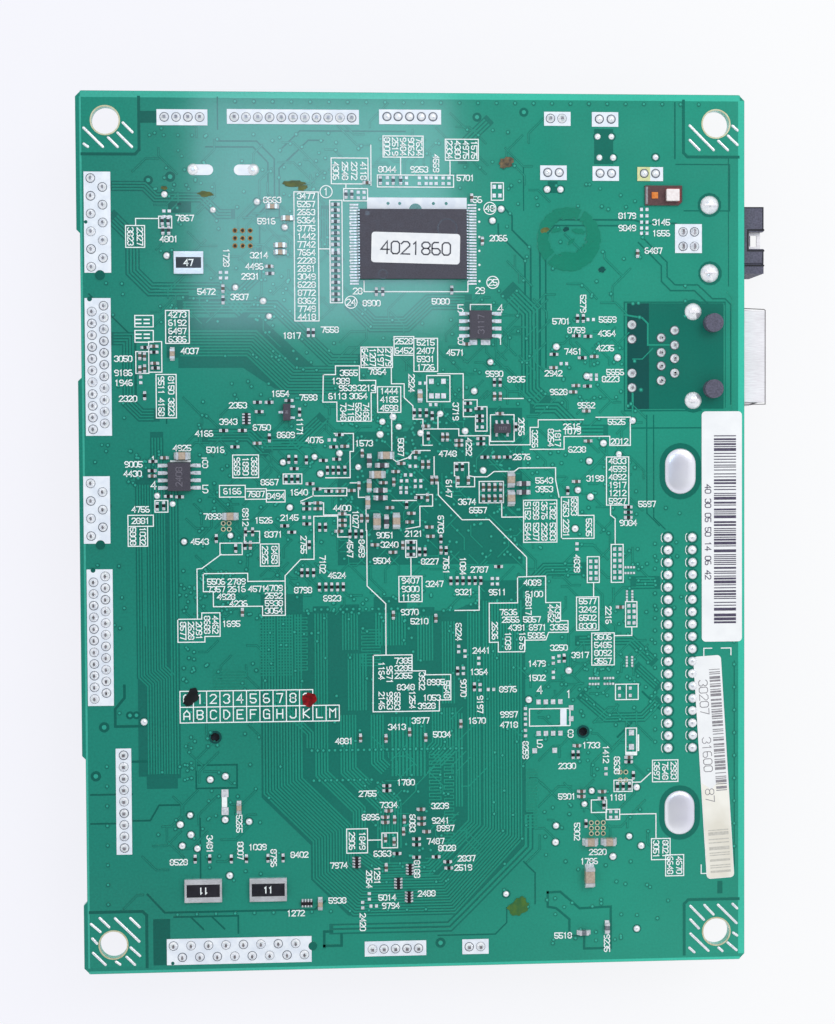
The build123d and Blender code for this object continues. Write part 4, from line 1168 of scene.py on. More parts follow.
DARK_LINES = [
    ([(41.2, 4.0), (44.2, 4.0), (44.2, 6.5), (41.2, 6.5), (41.2, 3.8)], 0.45),
    ([(80.2, 12.5), (82.4, 12.6), (85.8, 9.6), (91.3, 9.8), (91.3, 2.5), (86.6, 2.5), (86.6, 4.8),
      (84.0, 4.8), (84.0, 7.7), (81.7, 9.7), (80.2, 10.0), (80.2, 12.6)], 0.4),
    ([(7.3, 49.7), (7.3, 47.6), (5.7, 45.7), (5.7, 42.7), (10.3, 42.7)], 0.45),
    ([(72.6, 131.8), (74.4, 130.0), (74.4, 127.6), (77.6, 124.4), (77.6, 104.0)], 0.3),
    ([(72.0, 128.6), (72.0, 127.0), (76.6, 122.4), (76.6, 103.0)], 0.3),
    ([(79.2, 104.0), (79.2, 127.4), (81.2, 129.4), (95.6, 129.4), (97.6, 128.8), (103.0, 128.8)], 0.32),
    ([(80.2, 104.0), (80.2, 126.6), (81.8, 128.4), (95.2, 128.4)], 0.26),
    ([(96.4, 125.5), (100.4, 121.5), (100.4, 118.8), (102.0, 117.2), (106.2, 117.2), (108.6, 114.9)], 0.25),
    ([(97.2, 126.3), (101.4, 122.1), (101.4, 119.6), (102.8, 118.2), (106.8, 118.2), (109.4, 115.8),
      (111.6, 115.8), (112.6, 114.8), (112.6, 97.5)], 0.22), ([(24.0, 144.6), (24.0, 150.0)], 0.22),
    ([(76.4, 138.4), (76.4, 131.0)], 0.2),
    ([(107.4, 96.4), (93.9, 96.4), (93.9, 115.2), (111.6, 115.2), (111.6, 97.0)], 0.22),
    ([(35.0, 141.5), (38.0, 144.4), (56.0, 144.4)], 0.26),
    ([(36.0, 139.5), (39.4, 142.8), (42.0, 142.8)], 0.26),
    ([(22.0, 141.6), (30.0, 141.6), (32.5, 139.0), (32.5, 133.5), (28.4, 129.4)], 0.26),
    ([(24.0, 142.6), (30.6, 142.6), (33.6, 139.6), (33.6, 133.0), (29.3, 128.7)], 0.26),
    ([(34.4, 129.6), (34.4, 138.0), (37.0, 140.6)], 0.24),
    ([(34.4, 129.6), (31.0, 129.6), (31.0, 121.0)], 0.24),
    ([(2.0, 116.6), (9.8, 108.8), (9.8, 97.6)], 0.24), ([(1.4, 31.0), (8.4, 31.0)], 0.3),
    ([(1.4, 26.0), (6.0, 26.0)], 0.3), ([(6.0, 26.4), (11.5, 26.4), (13.0, 29.0), (16.4, 29.0)], 0.3),
    ([(8.6, 36.6), (12.6, 36.6)], 0.4), ([(10.9, 13.6), (13.8, 10.4), (39.6, 10.4), (41.4, 11.8)], 0.35),
    ([(20.0, 12.0), (20.0, 26.6)], 0.25), ([(15.4, 9.6), (26.4, 9.6), (26.4, 6.6)], 0.3),
    ([(18.4, 9.4), (20.4, 7.4)], 0.3), ([(22.0, 9.4), (24.0, 7.4)], 0.3),
    ([(19.4, 35.8), (26.4, 35.8), (26.4, 31.8), (19.4, 31.8), (19.4, 35.9)], 0.28),
    ([(14.9, 97.6), (14.9, 94.6)], 0.24), ([(99.0, 95.6), (99.0, 77.8), (101.0, 75.8)], 0.2),
    ([(97.8, 95.6), (97.8, 78.6), (100.0, 76.4)], 0.2), ([(95.0, 93.4), (107.4, 93.4)], 0.2),
    ([(100.0, 44.4), (97.0, 47.4)], 0.35), ([(92.6, 39.6), (95.0, 42.0)], 0.35),
    ([(78.0, 10.6), (78.0, 16.0), (76.0, 18.0)], 0.24),
    ([(61.0, 5.4), (71.0, 5.4), (73.0, 7.4), (73.0, 10.0)], 0.24), ([(113.2, 16.6), (113.2, 52.6)], 0.16),
    ([(112.2, 118.0), (112.2, 140.0)], 0.16),
    ([(103.0, 139.0), (112.4, 139.0), (112.4, 131.0), (104.4, 131.0)], 0.2),
    ([(102.8, 140.0), (102.8, 149.6)], 0.25),
]
DARK_DISCS = [
    (2.3, 34.2, 0.9), (3.8, 42.6, 0.9), (8.2, 44.6, 0.7), (9.3, 44.6, 0.7), (12.2, 135.9, 0.8),
    (15.9, 136.5, 0.9), (68.4, 146.9, 0.8), (76.5, 147.8, 0.8), (61.4, 4.1, 0.9), (10.6, 43.4, 0.9),
    (108.85, 132.0, 2.1), (108.95, 120.2, 2.1), (105.95, 113.7, 2.0), (105.95, 98.0, 2.0),
]
# Bundles of parallel lines: (points of the middle, lines, step).
BUNDLES = [
    ([(12.1, 84.0), (12.1, 52.0), (13.6, 50.5), (13.6, 34.5)], 11, 0.46),
    ([(15.9, 84.0), (15.9, 34.5)], 3, 0.5),
    ([(17.5, 108.2), (29.5, 108.2), (36.0, 101.9), (44.0, 101.9)], 9, 0.52),
    ([(18.0, 114.4), (33.5, 114.4), (43.0, 105.2), (47.5, 105.2)], 4, 0.52),
    ([(34.3, 61.5), (34.3, 32.0), (42.7, 23.6), (42.7, 17.2), (47.6, 12.6), (62.6, 12.6), (72.4, 23.2),
      (72.4, 63.5)], 14, 0.5),
    ([(41.0, 61.6), (41.0, 34.0), (47.4, 27.6), (47.4, 20.0), (51.0, 17.2), (59.6, 17.2), (67.4, 25.0),
      (67.4, 61.6)], 5, 0.5), ([(45.6, 44.0), (45.6, 34.5), (48.6, 31.5)], 6, 0.5),
    ([(63.0, 60.0), (63.0, 46.0)], 5, 0.5), ([(56.0, 43.5), (56.0, 33.5)], 10, 0.62),
    ([(46.0, 61.6), (46.0, 55.5)], 6, 0.5),
    ([(43.0, 6.9), (63.0, 6.9), (66.4, 10.2), (76.8, 20.6), (76.8, 26.0)], 2, 0.8),
    ([(77.0, 66.0), (80.0, 69.0), (86.0, 69.0)], 4, 0.5),
    ([(78.4, 97.0), (82.0, 97.0), (86.0, 93.0), (90.0, 93.0)], 3, 0.6),
    ([(6.2, 134.9), (11.5, 134.9), (13.4, 133.0), (21.2, 133.0), (24.0, 130.2), (26.0, 130.2)], 3, 0.5),
    ([(6.4, 129.2), (9.4, 126.2), (9.4, 120.4), (12.4, 117.4), (24.0, 117.4), (28.0, 113.6)], 4, 0.55),
    ([(6.2, 109.0), (8.6, 109.0), (8.6, 98.0), (10.6, 96.0), (12.6, 96.0)], 4, 0.5),
    ([(19.0, 116.4), (27.0, 116.4), (30.5, 119.6), (30.5, 123.5)], 3, 0.5),
    ([(47.2, 114.4), (50.2, 111.4), (56.0, 111.4), (60.0, 115.2), (66.0, 115.2)], 5, 0.5),
    ([(31.0, 91.0), (37.0, 91.0), (41.0, 94.8)], 4, 0.5),
    ([(22.0, 92.5), (29.0, 92.5), (31.5, 90.0)], 4, 0.5),
    ([(74.5, 116.5), (77.5, 113.5), (77.5, 100.0), (79.0, 98.5)], 5, 0.6),
    ([(70.0, 146.0), (66.0, 142.2), (66.0, 139.8)], 3, 0.55),
    ([(86.0, 56.5), (95.0, 56.5), (98.6, 53.0)], 3, 0.5),
    ([(86.5, 46.6), (90.6, 43.0), (97.0, 43.0), (99.5, 45.5)], 3, 0.5),
    ([(96.0, 66.5), (99.0, 66.5)], 4, 0.5), ([(44.5, 122.5), (42.2, 124.8), (42.2, 131.0)], 3, 0.4),
    ([(96.3, 51.5), (99.4, 48.6)], 3, 0.5), ([(33.0, 47.0), (39.0, 41.0), (39.0, 38.6)], 3, 0.5),
    ([(13.2, 92.0), (13.2, 86.0)], 4, 0.5), ([(50.6, 44.0), (50.6, 36.0), (52.0, 34.6)], 5, 0.5),
    ([(62.2, 45.0), (62.2, 38.4), (60.4, 36.6)], 9, 0.5), ([(53.0, 61.6), (53.0, 56.2)], 11, 0.5),
    ([(59.0, 61.0), (59.0, 53.5)], 6, 0.5), ([(47.2, 54.6), (47.2, 45.0)], 7, 0.5),
    ([(50.0, 31.0), (52.6, 28.4), (52.6, 21.0)], 9, 0.5), ([(64.8, 44.0), (64.8, 28.0)], 3, 0.5),
]
SERPENTINES = [
    (30.6, 51.2, 33.0, 60.8, 20), (33.6, 51.2, 36.0, 61.4, 20), (36.6, 52.0, 38.6, 61.0, 18),
    (62.2, 20.5, 63.8, 37.0, 30), (59.6, 28.0, 61.6, 37.0, 16), (48.0, 52.6, 51.2, 58.8, 12),
    (76.6, 24.0, 78.4, 34.0, 18), (22.6, 49.0, 28.0, 52.0, 6),
]
LIGHT_LINES = [
    ([(94.0, 113.0), (97.0, 112.5), (98.0, 111.5), (98.0, 107.8), (102.7, 107.8)], 0.3),
    ([(95.3, 94.7), (95.3, 100.4)], 0.3), ([(24.5, 139.8), (24.5, 134.0)], 0.2),
    ([(11.0, 60.0), (11.0, 74.0)], 0.25), ([(112.8, 95.0), (112.8, 116.0), (112.0, 117.0)], 0.18),
    ([(111.5, 97.0), (111.5, 114.6)], 0.16), ([(61.0, 103.5), (66.0, 103.5), (67.7, 101.8)], 0.2),
    ([(78.0, 88.0), (82.0, 84.0), (84.0, 84.0)], 0.2),
]
# Where short single lines wander between the parts: (x0, y0, x1, y1, count).
CLUTTER_AREAS = [
    (20.0, 64.0, 44.0, 98.0, 90), (44.0, 64.0, 76.0, 100.0, 110), (76.0, 62.0, 98.0, 108.0, 70),
    (12.0, 112.0, 44.0, 145.0, 60), (46.0, 98.0, 76.0, 116.0, 40), (72.0, 108.0, 92.0, 124.0, 16),
    (76.0, 22.0, 100.0, 58.0, 56), (2.0, 12.0, 30.0, 36.0, 18), (50.0, 18.0, 66.0, 42.0, 30),
    (18.0, 36.0, 30.0, 62.0, 12), (48.0, 134.0, 78.0, 146.0, 24),
]
# Covered vias: (x, y, step in X, step in Y, count) rows and (x0, y0, x1, y1, count) areas.
VIA_ROWS = [
    (39.3, 38.0, 1.0, 0.0, 27), (39.6, 32.8, 1.0, 0.0, 11), (40.0, 62.4, 1.1, 0.0, 14),
    (28.5, 48.4, 1.2, 0.0, 8), (12.5, 143.5, 2.4, 0.0, 5), (27.0, 149.3, 3.2, 0.0, 26),
    (4.2, 12.0, 0.0, 3.4, 8), (104.6, 118.0, 0.0, -2.6, 3), (113.2, 20.0, 0.0, 4.0, 10),
    (16.0, 10.0, 3.3, 0.0, 14), (18.6, 33.6, 0.0, 2.6, 3), (99.2, 38.6, 0.0, 2.165, 17),
]
VIA_AREAS = [
    (44.0, 70.0, 76.0, 96.0, 190), (20.0, 64.0, 44.0, 100.0, 120), (76.0, 66.0, 97.0, 112.0, 110),
    (14.0, 100.0, 44.0, 140.0, 90), (46.0, 96.0, 76.0, 116.0, 60), (72.0, 112.0, 98.0, 136.0, 46),
    (48.0, 14.0, 64.0, 34.0, 60), (70.0, 22.0, 98.0, 60.0, 90), (12.0, 14.0, 34.0, 36.0, 40),
    (20.0, 38.0, 70.0, 62.0, 90), (2.0, 40.0, 8.0, 120.0, 30), (70.0, 3.0, 103.0, 20.0, 36),
    (12.0, 134.0, 76.0, 145.0, 60), (99.0, 60.0, 104.0, 80.0, 14), (92.0, 44.0, 99.0, 74.0, 40),
    (16.8, 61.5, 27.0, 69.5, 60), (17.2, 33.0, 19.4, 60.0, 34), (8.0, 84.0, 14.0, 90.0, 34),
    (30.0, 60.0, 76.0, 66.0, 60), (48.0, 82.0, 62.0, 96.0, 70), (86.0, 46.0, 92.0, 54.0, 24),
    (30.0, 104.0, 36.0, 122.0, 24),
]
# Blocks of bare holes: (x of the left column, y of the top row, step in X, step in Y, columns, rows).
HEAT_VIAS = [
    (26.8, 127.4, 1.3, 1.3, 3, 3), (87.9, 24.6, 1.05, 0.95, 3, 3), (93.0, 33.4, 1.0, 1.4, 2, 2),
    (24.4, 77.4, 1.0, 1.0, 2, 2),
]
# Broad mounds of solder: (x, y, length along X, length along Y).
SOLDER_OVALS = [(103.7, 85.85, 5.4, 7.9), (103.5, 26.1, 5.3, 7.7)]
# The middles of round solder dots.
DOT_RADIUS = 0.58
SOLDER_DOTS = [
    (14.9, 133.5), (23.1, 130.9), (30.6, 132.3), (35.3, 128.0), (15.2, 123.1), (26.8, 117.7), (31.5, 115.4),
    (32.5, 112.8), (13.2, 82.2), (15.8, 80.8), (35.8, 80.05), (17.7, 74.3), (25.6, 75.3), (34.7, 87.8),
    (70.55, 104.9), (67.7, 99.9), (61.8, 96.0), (66.1, 93.0), (58.4, 92.7), (69.2, 86.2), (53.65, 95.5),
    (51.8, 94.7), (54.6, 93.8), (51.4, 92.5), (47.6, 86.9), (44.4, 89.3), (41.1, 85.8), (40.1, 88.7),
    (82.0, 107.5), (92.7, 105.6), (87.3, 102.4), (95.3, 94.7), (90.2, 90.8), (92.9, 88.9), (87.7, 87.7),
    (85.7, 82.7), (87.9, 81.5), (85.2, 76.0), (84.0, 51.3), (77.0, 46.3), (10.6, 43.4), (72.5, 131.2),
    (71.0, 129.2), (89.3, 143.7), (91.7, 143.7), (89.6, 140.1), (92.0, 140.1), (99.4, 140.2), (80.5, 134.6),
    (82.8, 134.6), (21.8, 33.3), (24.4, 33.8), (24.3, 26.3), (28.4, 25.9), (18.3, 27.2), (16.6, 25.6),
    (18.4, 23.8), (16.9, 21.9), (19.5, 21.4), (25.0, 16.6), (72.9, 12.4), (95.9, 30.7), (88.0, 30.2),
    (86.7, 27.9), (81.7, 24.2), (81.6, 21.3), (94.6, 22.1), (96.7, 20.4), (91.7, 18.6), (95.9, 5.8),
]
# Connector panels in white print: (x0, y0, x1, y1).
PANELS = [
    (1.3, 120.2, 5.8, 137.3), (1.25, 92.5, 5.65, 115.9), (0.7, 74.1, 5.2, 85.6), (1.1, 46.3, 5.5, 69.7),
    (5.7, 20.6, 8.35, 38.9), (13.7, 145.2, 22.3, 147.9), (25.6, 145.5, 48.1, 148.0),
    (51.55, 145.6, 62.2, 148.1), (80.0, 145.5, 84.6, 147.9), (88.3, 145.4, 92.9, 147.9),
    (79.3, 136.2, 83.9, 138.7), (88.4, 136.1, 93.0, 138.6), (96.2, 136.1, 100.7, 138.5),
    (14.1, 1.3, 39.0, 5.8), (48.2, 2.0, 58.9, 4.6), (65.2, 2.0, 69.8, 4.6), (102.8, 123.7, 107.5, 128.7),
    (49.4, 131.0, 66.55, 133.1), (82.5, 41.7, 83.6, 44.7),
]
FILLED_HOLES = [
    (x, y) for y, row in (
        (146.9, (52.9, 54.8, 56.8, 58.8, 60.8)), (146.7, (89.6, 91.65)), (137.5, (80.6, 82.6)),
        (137.4, (89.7, 91.7, 97.4, 99.4)),
    ) for x in row
]
# Solder round the sockets' folded tabs: (x, y, radius); and the two ends of the wire link.
TAB_JOINTS = [(108.85, 132.0, 1.62), (108.85, 120.2, 1.62), (105.95, 113.55, 1.5), (105.95, 98.15, 1.5)]
LINK_ENDS = [(19.8, 137.75), (30.0, 137.75)]
# The solder stripes on the corner pads: (end, end).
CORNER_STRIPES = [
    ((1.4, 144.7), (4.6, 141.5)), ((1.4, 142.0), (2.1, 141.5)), ((5.5, 143.1), (7.1, 141.5)),
    ((7.1, 143.9), (9.5, 141.5)), ((8.0, 145.6), (9.6, 144.0)), ((105.4, 145.7), (109.6, 141.5)),
    ((105.4, 143.2), (107.1, 141.5)), ((110.4, 143.1), (112.1, 141.5)), ((112.1, 144.0), (113.8, 142.4)),
    ((112.9, 145.7), (113.8, 144.9)), ((2.7, 9.7), (4.3, 8.1)), ((5.3, 9.6), (9.4, 5.5)),
    ((7.9, 9.6), (9.5, 8.0)), ((1.2, 8.7), (2.8, 7.3)), ((1.4, 6.2), (2.2, 5.3)), ((7.9, 4.5), (9.5, 3.0)),
    ((1.5, 3.7), (3.6, 1.6)), ((5.4, 2.1), (6.1, 1.6)), ((7.2, 2.9), (8.6, 1.5)),
    ((105.4, 9.6), (107.8, 7.1)), ((107.9, 9.7), (109.5, 8.0)), ((110.3, 9.7), (113.6, 6.4)),
    ((112.9, 9.8), (113.7, 9.0)), ((105.4, 7.2), (106.9, 5.6)), ((105.4, 4.7), (108.6, 1.6)),
    ((113.0, 4.7), (113.7, 4.2)), ((105.2, 2.2), (106.1, 1.4)), ((110.4, 2.1), (111.1, 1.5)),
    ((112.0, 3.0), (113.6, 1.6)),
]
# Bare solder lands with no part on them: middles of pairs along X, and of pairs along Y.
EMPTY_PAIRS_X = [
    (38.7, 78.3), (43.1, 91.6), (60.6, 97.6), (58.8, 101.3), (68.6, 93.7), (70.4, 48.2), (83.3, 104.6),
    (49.8, 10.8), (43.95, 131.9), (43.95, 130.9), (43.95, 129.0), (43.95, 128.0), (43.95, 125.1),
    (43.95, 124.1), (57.0, 88.5), (57.0, 87.0), (56.2, 85.5), (55.5, 84.5), (57.9, 84.5), (55.4, 83.3),
    (57.9, 83.5), (55.4, 82.5), (88.5, 102.6), (88.5, 101.9), (88.0, 112.2), (97.4, 131.2), (97.4, 130.1),
    (97.4, 129.0), (97.4, 128.0), (97.4, 127.1),
]
EMPTY_PAIRS_Y = [
    (24.3, 119.8), (25.3, 119.8), (14.8, 130.2), (15.7, 130.2), (10.6, 102.0), (71.6, 67.0), (70.7, 67.0),
    (64.8, 55.3), (65.9, 54.5), (68.3, 53.2), (65.6, 51.5), (68.5, 48.6), (76.4, 44.3), (76.4, 42.5),
    (76.4, 40.5), (85.5, 72.9), (82.3, 53.4), (81.3, 53.1), (81.3, 50.6), (90.5, 33.6), (91.3, 26.0),
    (92.3, 26.0), (49.05, 12.5), (47.9, 11.0), (52.9, 136.0), (56.2, 136.0), (58.4, 136.0), (59.6, 136.0),
    (60.4, 136.0), (61.3, 136.0), (62.5, 136.0), (63.5, 136.0), (47.9, 133.5), (48.9, 133.5),
]
# Rows of lands beside the chips: (chip, distance from its middle, lands a side, step, width).
CHIP_LANDS = [
    ("flash_chip_body", 10.15, 28, 0.5, 0.3), ("eeprom_chip_body", 2.9, 4, 1.27, 0.62),
    ("driver_chip_body", 2.9, 4, 1.27, 0.62),
]
# Blocks of bare lands: (x of the left column, y of the top row, columns, rows, step in X and in Y, size).
LAND_BLOCKS = [
    (87.9, 70.3, 2, 4, 0.95, 1.0, 0.55), (92.1, 72.4, 2, 6, 0.95, 1.0, 0.55),
    (94.6, 62.5, 2, 4, 0.9, 1.0, 0.55), (94.0, 69.2, 4, 2, 0.5, 1.0, 0.34),
    (94.25, 65.0, 2, 4, 0.95, 0.5, 0.34), (94.2, 53.5, 2, 4, 0.95, 0.5, 0.34),
    (87.7, 49.9, 4, 2, 0.5, 1.0, 0.34), (90.3, 49.9, 4, 2, 0.5, 1.0, 0.34),
    (95.0, 40.3, 1, 2, 1.0, 2.5, 0.9), (24.3, 30.9, 1, 2, 1.0, 3.1, 1.2),
    (78.7, 45.9, 4, 1, 1.27, 1.0, 0.75), (78.7, 40.4, 4, 1, 1.27, 1.0, 0.75),
    (60.3, 101.6, 2, 1, 2.1, 1.0, 0.8), (60.3, 99.1, 3, 1, 1.05, 1.0, 0.8),
    (84.4, 44.8, 1, 2, 1.0, 1.9, 0.8), (78.0, 37.4, 2, 1, 3.5, 1.0, 0.8), (92.9, 48.1, 2, 2, 1.9, 1.3, 0.5),
    (71.3, 135.0, 2, 2, 1.0, 1.5, 0.6),
]


# ---------------------------------------------------------------------------------------- solder
@dataclass
class SolderWork:
    """Solder that stands up from the board: joints round pins, filled holes, dots, lands and stripes."""

    draw: random.Random = field(default_factory=lambda: random.Random(7))
    joint_radius: float = 0.74
    joint_height: float = 0.62
    land_height: float = 0.132
    print_height: float = 0.104
    sink: float = 0.03
    pair_reach: float = 0.48

    def joints(self) -> None:
        """Flows a cone of solder round every pin that comes through the board, on a ring of its land painted
        dark as the shade at the joint's foot.
        """
        r, h = self.joint_radius, self.joint_height
        profile = [
            (r, 0.0), (r * 0.9, 0.12), (r * 0.66, 0.24), (r * 0.46, h * 0.7), (r * 0.36, h),
            (r * 0.3, h * 1.02),
        ]
        cone = Stamp(turned_profile(profile, 16))
        # A ring of the land round each joint, painted dark grey as the shade at the joint's foot.
        rim = Stamp(turned_profile([(r * 1.13, 0.0), (r * 1.1, 0.045), (r * 0.9, 0.05)], 16))
        joints, rims = bmesh.new(), bmesh.new()
        nodes = ("wire_header_pins", "cable_socket_contacts", "flat_cable_contacts", "ethernet_lamp_leads")
        spots = [(pin.x, pin.y) for node in nodes for pin in solids_of(node)]
        for x, y in spots + self.tail_spots("ethernet_contacts") + self.tail_spots("usb_contacts"):
            turn, scale = self.draw.uniform(0, 360), self.draw.uniform(0.95, 1.06)
            cone.press(joints, x, y, self.print_height, turn, scale)
            rim.press(rims, x, y, self.print_height - 0.02, self.draw.uniform(0, 360))
        add_solder("pin_joints", joints, SOLDER)
        add_solder("pin_land_shade", rims, SOLDER_RIM_SHADE)

    def tail_spots(self, node: str) -> list[Point]:
        """Finds where a bent contact comes through the board.

        Args:
            node: the contacts' CAD node.

        Returns:
            The middle of each tail.
        """
        tops: dict[tuple[int, int], list[Vector]] = {}
        data = frame["nodes"][node].data
        highest = max(v.co.z for v in data.vertices)
        for vert in data.vertices:
            if vert.co.z > highest - 0.0001:
                x, y = vert.co.x / MM - BENCH.low_x, vert.co.y / MM - BENCH.low_y
                tops.setdefault((round(x / 1.6), round(y / 1.2)), []).append(Vector((x, y, 0)))
        spots: list[Point] = []
        for group in tops.values():
            middle = sum(group, Vector()) / len(group)
            if all(math.hypot(middle.x - x, middle.y - y) > 0.8 for x, y in spots):
                spots.append((middle.x, middle.y))
        return spots

    def big_joints(self) -> None:
        """Heaps solder round the four folded tabs of the sockets and the wire link's two ends."""
        mound = Stamp(turned_profile([(1.0, 0.0), (0.94, 0.12), (0.72, 0.34), (0.4, 0.5), (0.0, 0.55)], 24))
        heap = bmesh.new()
        for x, y, radius in TAB_JOINTS:
            mound.press(heap, x, y, 0.0, self.draw.uniform(0, 360), radius)
        for x, y in LINK_ENDS:
            mound.press(heap, x, y)
        for vert in heap.verts:
            if vert.co.z > 0.05:
                vert.co.x += 0.06 * math.sin(vert.co.y * 9.0)
                vert.co.z *= 1.0 + 0.12 * math.sin(vert.co.x * 7.0 + vert.co.y * 4.0)
        add_solder("tab_joints", heap, SOLDER)

    def domes(self) -> None:
        """Fills the unused holes and wets the test points with smooth domes."""
        dome = Stamp(turned_profile([(1.0, 0.0), (0.93, 0.22), (0.72, 0.44), (0.4, 0.58), (0.0, 0.62)], 16))
        # A ring round each filled hole's dome, painted dark grey as the shade at the dome's edge.
        rim = Stamp(turned_profile([(0.8, 0.0), (0.78, 0.05), (0.62, 0.055)], 20))
        heap, rims = bmesh.new(), bmesh.new()
        for x, y in PORT_HOLES:
            dome.press(heap, x + self.draw.uniform(-0.04, 0.04), y, self.sink, 0.0, 0.8)
        for x, y in FILLED_HOLES:
            dome.press(heap, x, y, self.print_height - self.sink, 0.0, 0.66)
            rim.press(rims, x, y, self.print_height)
        for x, y in SOLDER_DOTS:
            dome.press(heap, x, y, self.sink, 0.0, DOT_RADIUS * self.draw.uniform(0.9, 1.1))
        add_solder("solder_domes", heap, SOLDER)
        add_solder("filled_hole_shade_rims", rims, SOLDER_RIM_SHADE)

    def ovals(self) -> None:
        """Floods the two long slots of the missing parallel socket."""
        heap = bmesh.new()
        steps = ((1.0, 0.0), (0.97, 0.14), (0.9, 0.26), (0.72, 0.38), (0.42, 0.45), (0.08, 0.47))
        for x, y, length, width in SOLDER_OVALS:
            stadium_mound(length, width, steps, 16).press(heap, x, y, 0.02)
        add_solder("slot_mounds", heap, SOLDER_POOL)

    def lands(self) -> None:
        """Lays the bare solder-coated lands."""
        layer = Layer(self.land_height)
        for pairs, step_x, step_y, length, width in (
            (EMPTY_PAIRS_X, self.pair_reach, 0.0, 0.5, 0.55),
            (EMPTY_PAIRS_Y, 0.0, self.pair_reach, 0.55, 0.5),
        ):
            for x, y in pairs:
                for side in (-1, 1):
                    layer.pad(x + side * step_x, y + side * step_y, length, width)
        for x0, y0, columns, rows, step_x, step_y, size in LAND_BLOCKS:
            for i in range(columns):
                for j in range(rows):
                    layer.pad(x0 + step_x * i, y0 - step_y * j, size, size * 1.1)
        for node, reach, count, pitch, width in CHIP_LANDS:
            chip = solids_of(node)[0]
            for side in (-1, 1):
                for i in range(count):
                    layer.pad(chip.x + side * reach, chip.y + pitch * (i - (count - 1) / 2), 1.5, width)
        for x, length in ((67.6, 1.3), (69.7, 1.6)):
            layer.pad(x, 108.3, length, 0.9)
        layer.lay("solder_lands", SOLDER_DULL, slot="tinned_copper")

    def stripes(self) -> None:
        """Heaps the narrow stripes of solder on the corner pads."""
        stripes = bmesh.new()
        steps = ((1.0, 0.0), (0.86, 0.1), (0.5, 0.16), (0.12, 0.18))
        for a, b in CORNER_STRIPES:
            turn = math.degrees(math.atan2(b[1] - a[1], b[0] - a[0])) - 90.0
            mound = stadium_mound(0.48, math.dist(a, b) + 0.46, steps, 5)
            mound.press(stripes, (a[0] + b[0]) / 2, (a[1] + b[1]) / 2, 0.02, turn)
        add_solder("corner_stripes", stripes, SOLDER)

    def build(self) -> None:
        """Builds all the solder."""
        self.joints()
        self.big_joints()
        self.domes()
        self.ovals()
        self.lands()
        self.stripes()


# ---------------------------------------------------------------------------------------- chips
@dataclass
class ChipRow:
    """Every chip resistor, capacitor or bead of one size, each with tinned ends and solder fillets."""

    node: str
    slot: str
    finish: Finish
    cap_share: float = 0.21
    land: float = 0.26
    edge: float = 0.03
    end: Finish = CHIP_END
    lift: float = 0.06

    def template(self, length: float, width: float, height: float) -> Stamp:
        """Models one chip along X with its ends and fillets.

        Args:
            length: its length.
            width: its width.
            height: its height.

        Returns:
            The chip as a stamp.
        """
        shape = bmesh.new()
        half, side = length / 2, width / 2
        inner = half - length * self.cap_share
        body = box_between(shape, (-inner, -side, 0.02), (inner, side, height), 0)
        edges = {edge for vert in body for edge in vert.link_edges}
        rim = [edge for edge in edges if all(v.co.z > height - 0.01 for v in edge.verts)]
        bmesh.ops.bevel(
            shape, geom=rim, offset=self.edge, offset_type="OFFSET", segments=1, profile=0.5,
            affect="EDGES", material=-1,
        )
        for sign in (-1, 1):
            foot = sign * (half + self.land)
            edge = side + 0.01
            box_between(shape, (sign * inner, -edge, 0.0), (sign * half, edge, height + 0.01), 1)
            wide = side * 0.96
            fillet = box_between(shape, (sign * half, -wide, 0.0), (foot, wide, height * 0.72), 2)
            for vert in fillet:
                if abs(vert.co.x - foot) < 1e-4 and vert.co.z > 0.1:
                    vert.co.z = 0.05
        return Stamp(shape)

    def build(self) -> None:
        """Builds every chip of the node."""
        piece = bmesh.new()
        stamps: dict[tuple[float, float, float], Stamp] = {}
        for span in solids_of(self.node):
            length, width = max(span.length, span.width), min(span.length, span.width)
            key = (round(length, 2), round(width, 2), round(span.high, 2))
            if key not in stamps:
                stamps[key] = self.template(*key)
            stamps[key].press(piece, span.x, span.y, self.lift, 0.0 if span.along_x else 90.0)
        add_piece(f"dressed_{self.node}", piece, [self.finish, self.end, SOLDER_DULL], [self.node])


CHIP_ROWS = [
    ChipRow("chip_resistors", "resistor_ceramic", RESISTOR),
    ChipRow("chip_capacitors", "capacitor_ceramic", BROWN, 0.24),
    ChipRow("medium_chip_capacitors", "large_capacitor_ceramic", TAN, 0.24, 0.36, 0.05, TIN),
    ChipRow("ferrite_beads", "ferrite", FERRITE, 0.24, 0.42, 0.05),
    ChipRow("chip_fuses", "fuse_body", FUSE, 0.26, 0.42, 0.05),
    ChipRow("large_chip_capacitors", "large_capacitor_ceramic", TAN, 0.2, 0.42, 0.06, TIN),
    ChipRow("output_capacitor", "large_capacitor_ceramic", TAN, 0.18, 0.5, 0.08, TIN),
]


@dataclass
class ResistorArrays:
    """Four resistors in one block, with four scalloped ends along each long side."""

    node: str = "resistor_arrays"
    ends: int = 4

    def build(self) -> None:
        """Builds every array."""
        piece = bmesh.new()
        for span in solids_of(self.node):
            length, half, height = max(span.length, span.width), min(span.length, span.width) / 2, span.high
            shape = bmesh.new()
            box_between(shape, (-length / 2, -half + 0.12, 0.02), (length / 2, half - 0.12, height))
            for i in range(self.ends):
                x = length * ((i + 0.5) / self.ends - 0.5)
                for side in (-1, 1):
                    near = side * (half - 0.22)
                    box_between(shape, (x - 0.15, near, 0.0), (x + 0.15, side * (half + 0.22), 0.08), 2)
                    box_between(shape, (x - 0.13, near, 0.0), (x + 0.13, side * half, height + 0.01), 1)
            Stamp(shape).press(piece, span.x, span.y, 0.05, 0.0 if span.along_x else 90.0)
        finishes = [RESISTOR, CHIP_END, SOLDER_DULL]
        add_piece(f"dressed_{self.node}", piece, finishes, [self.node])


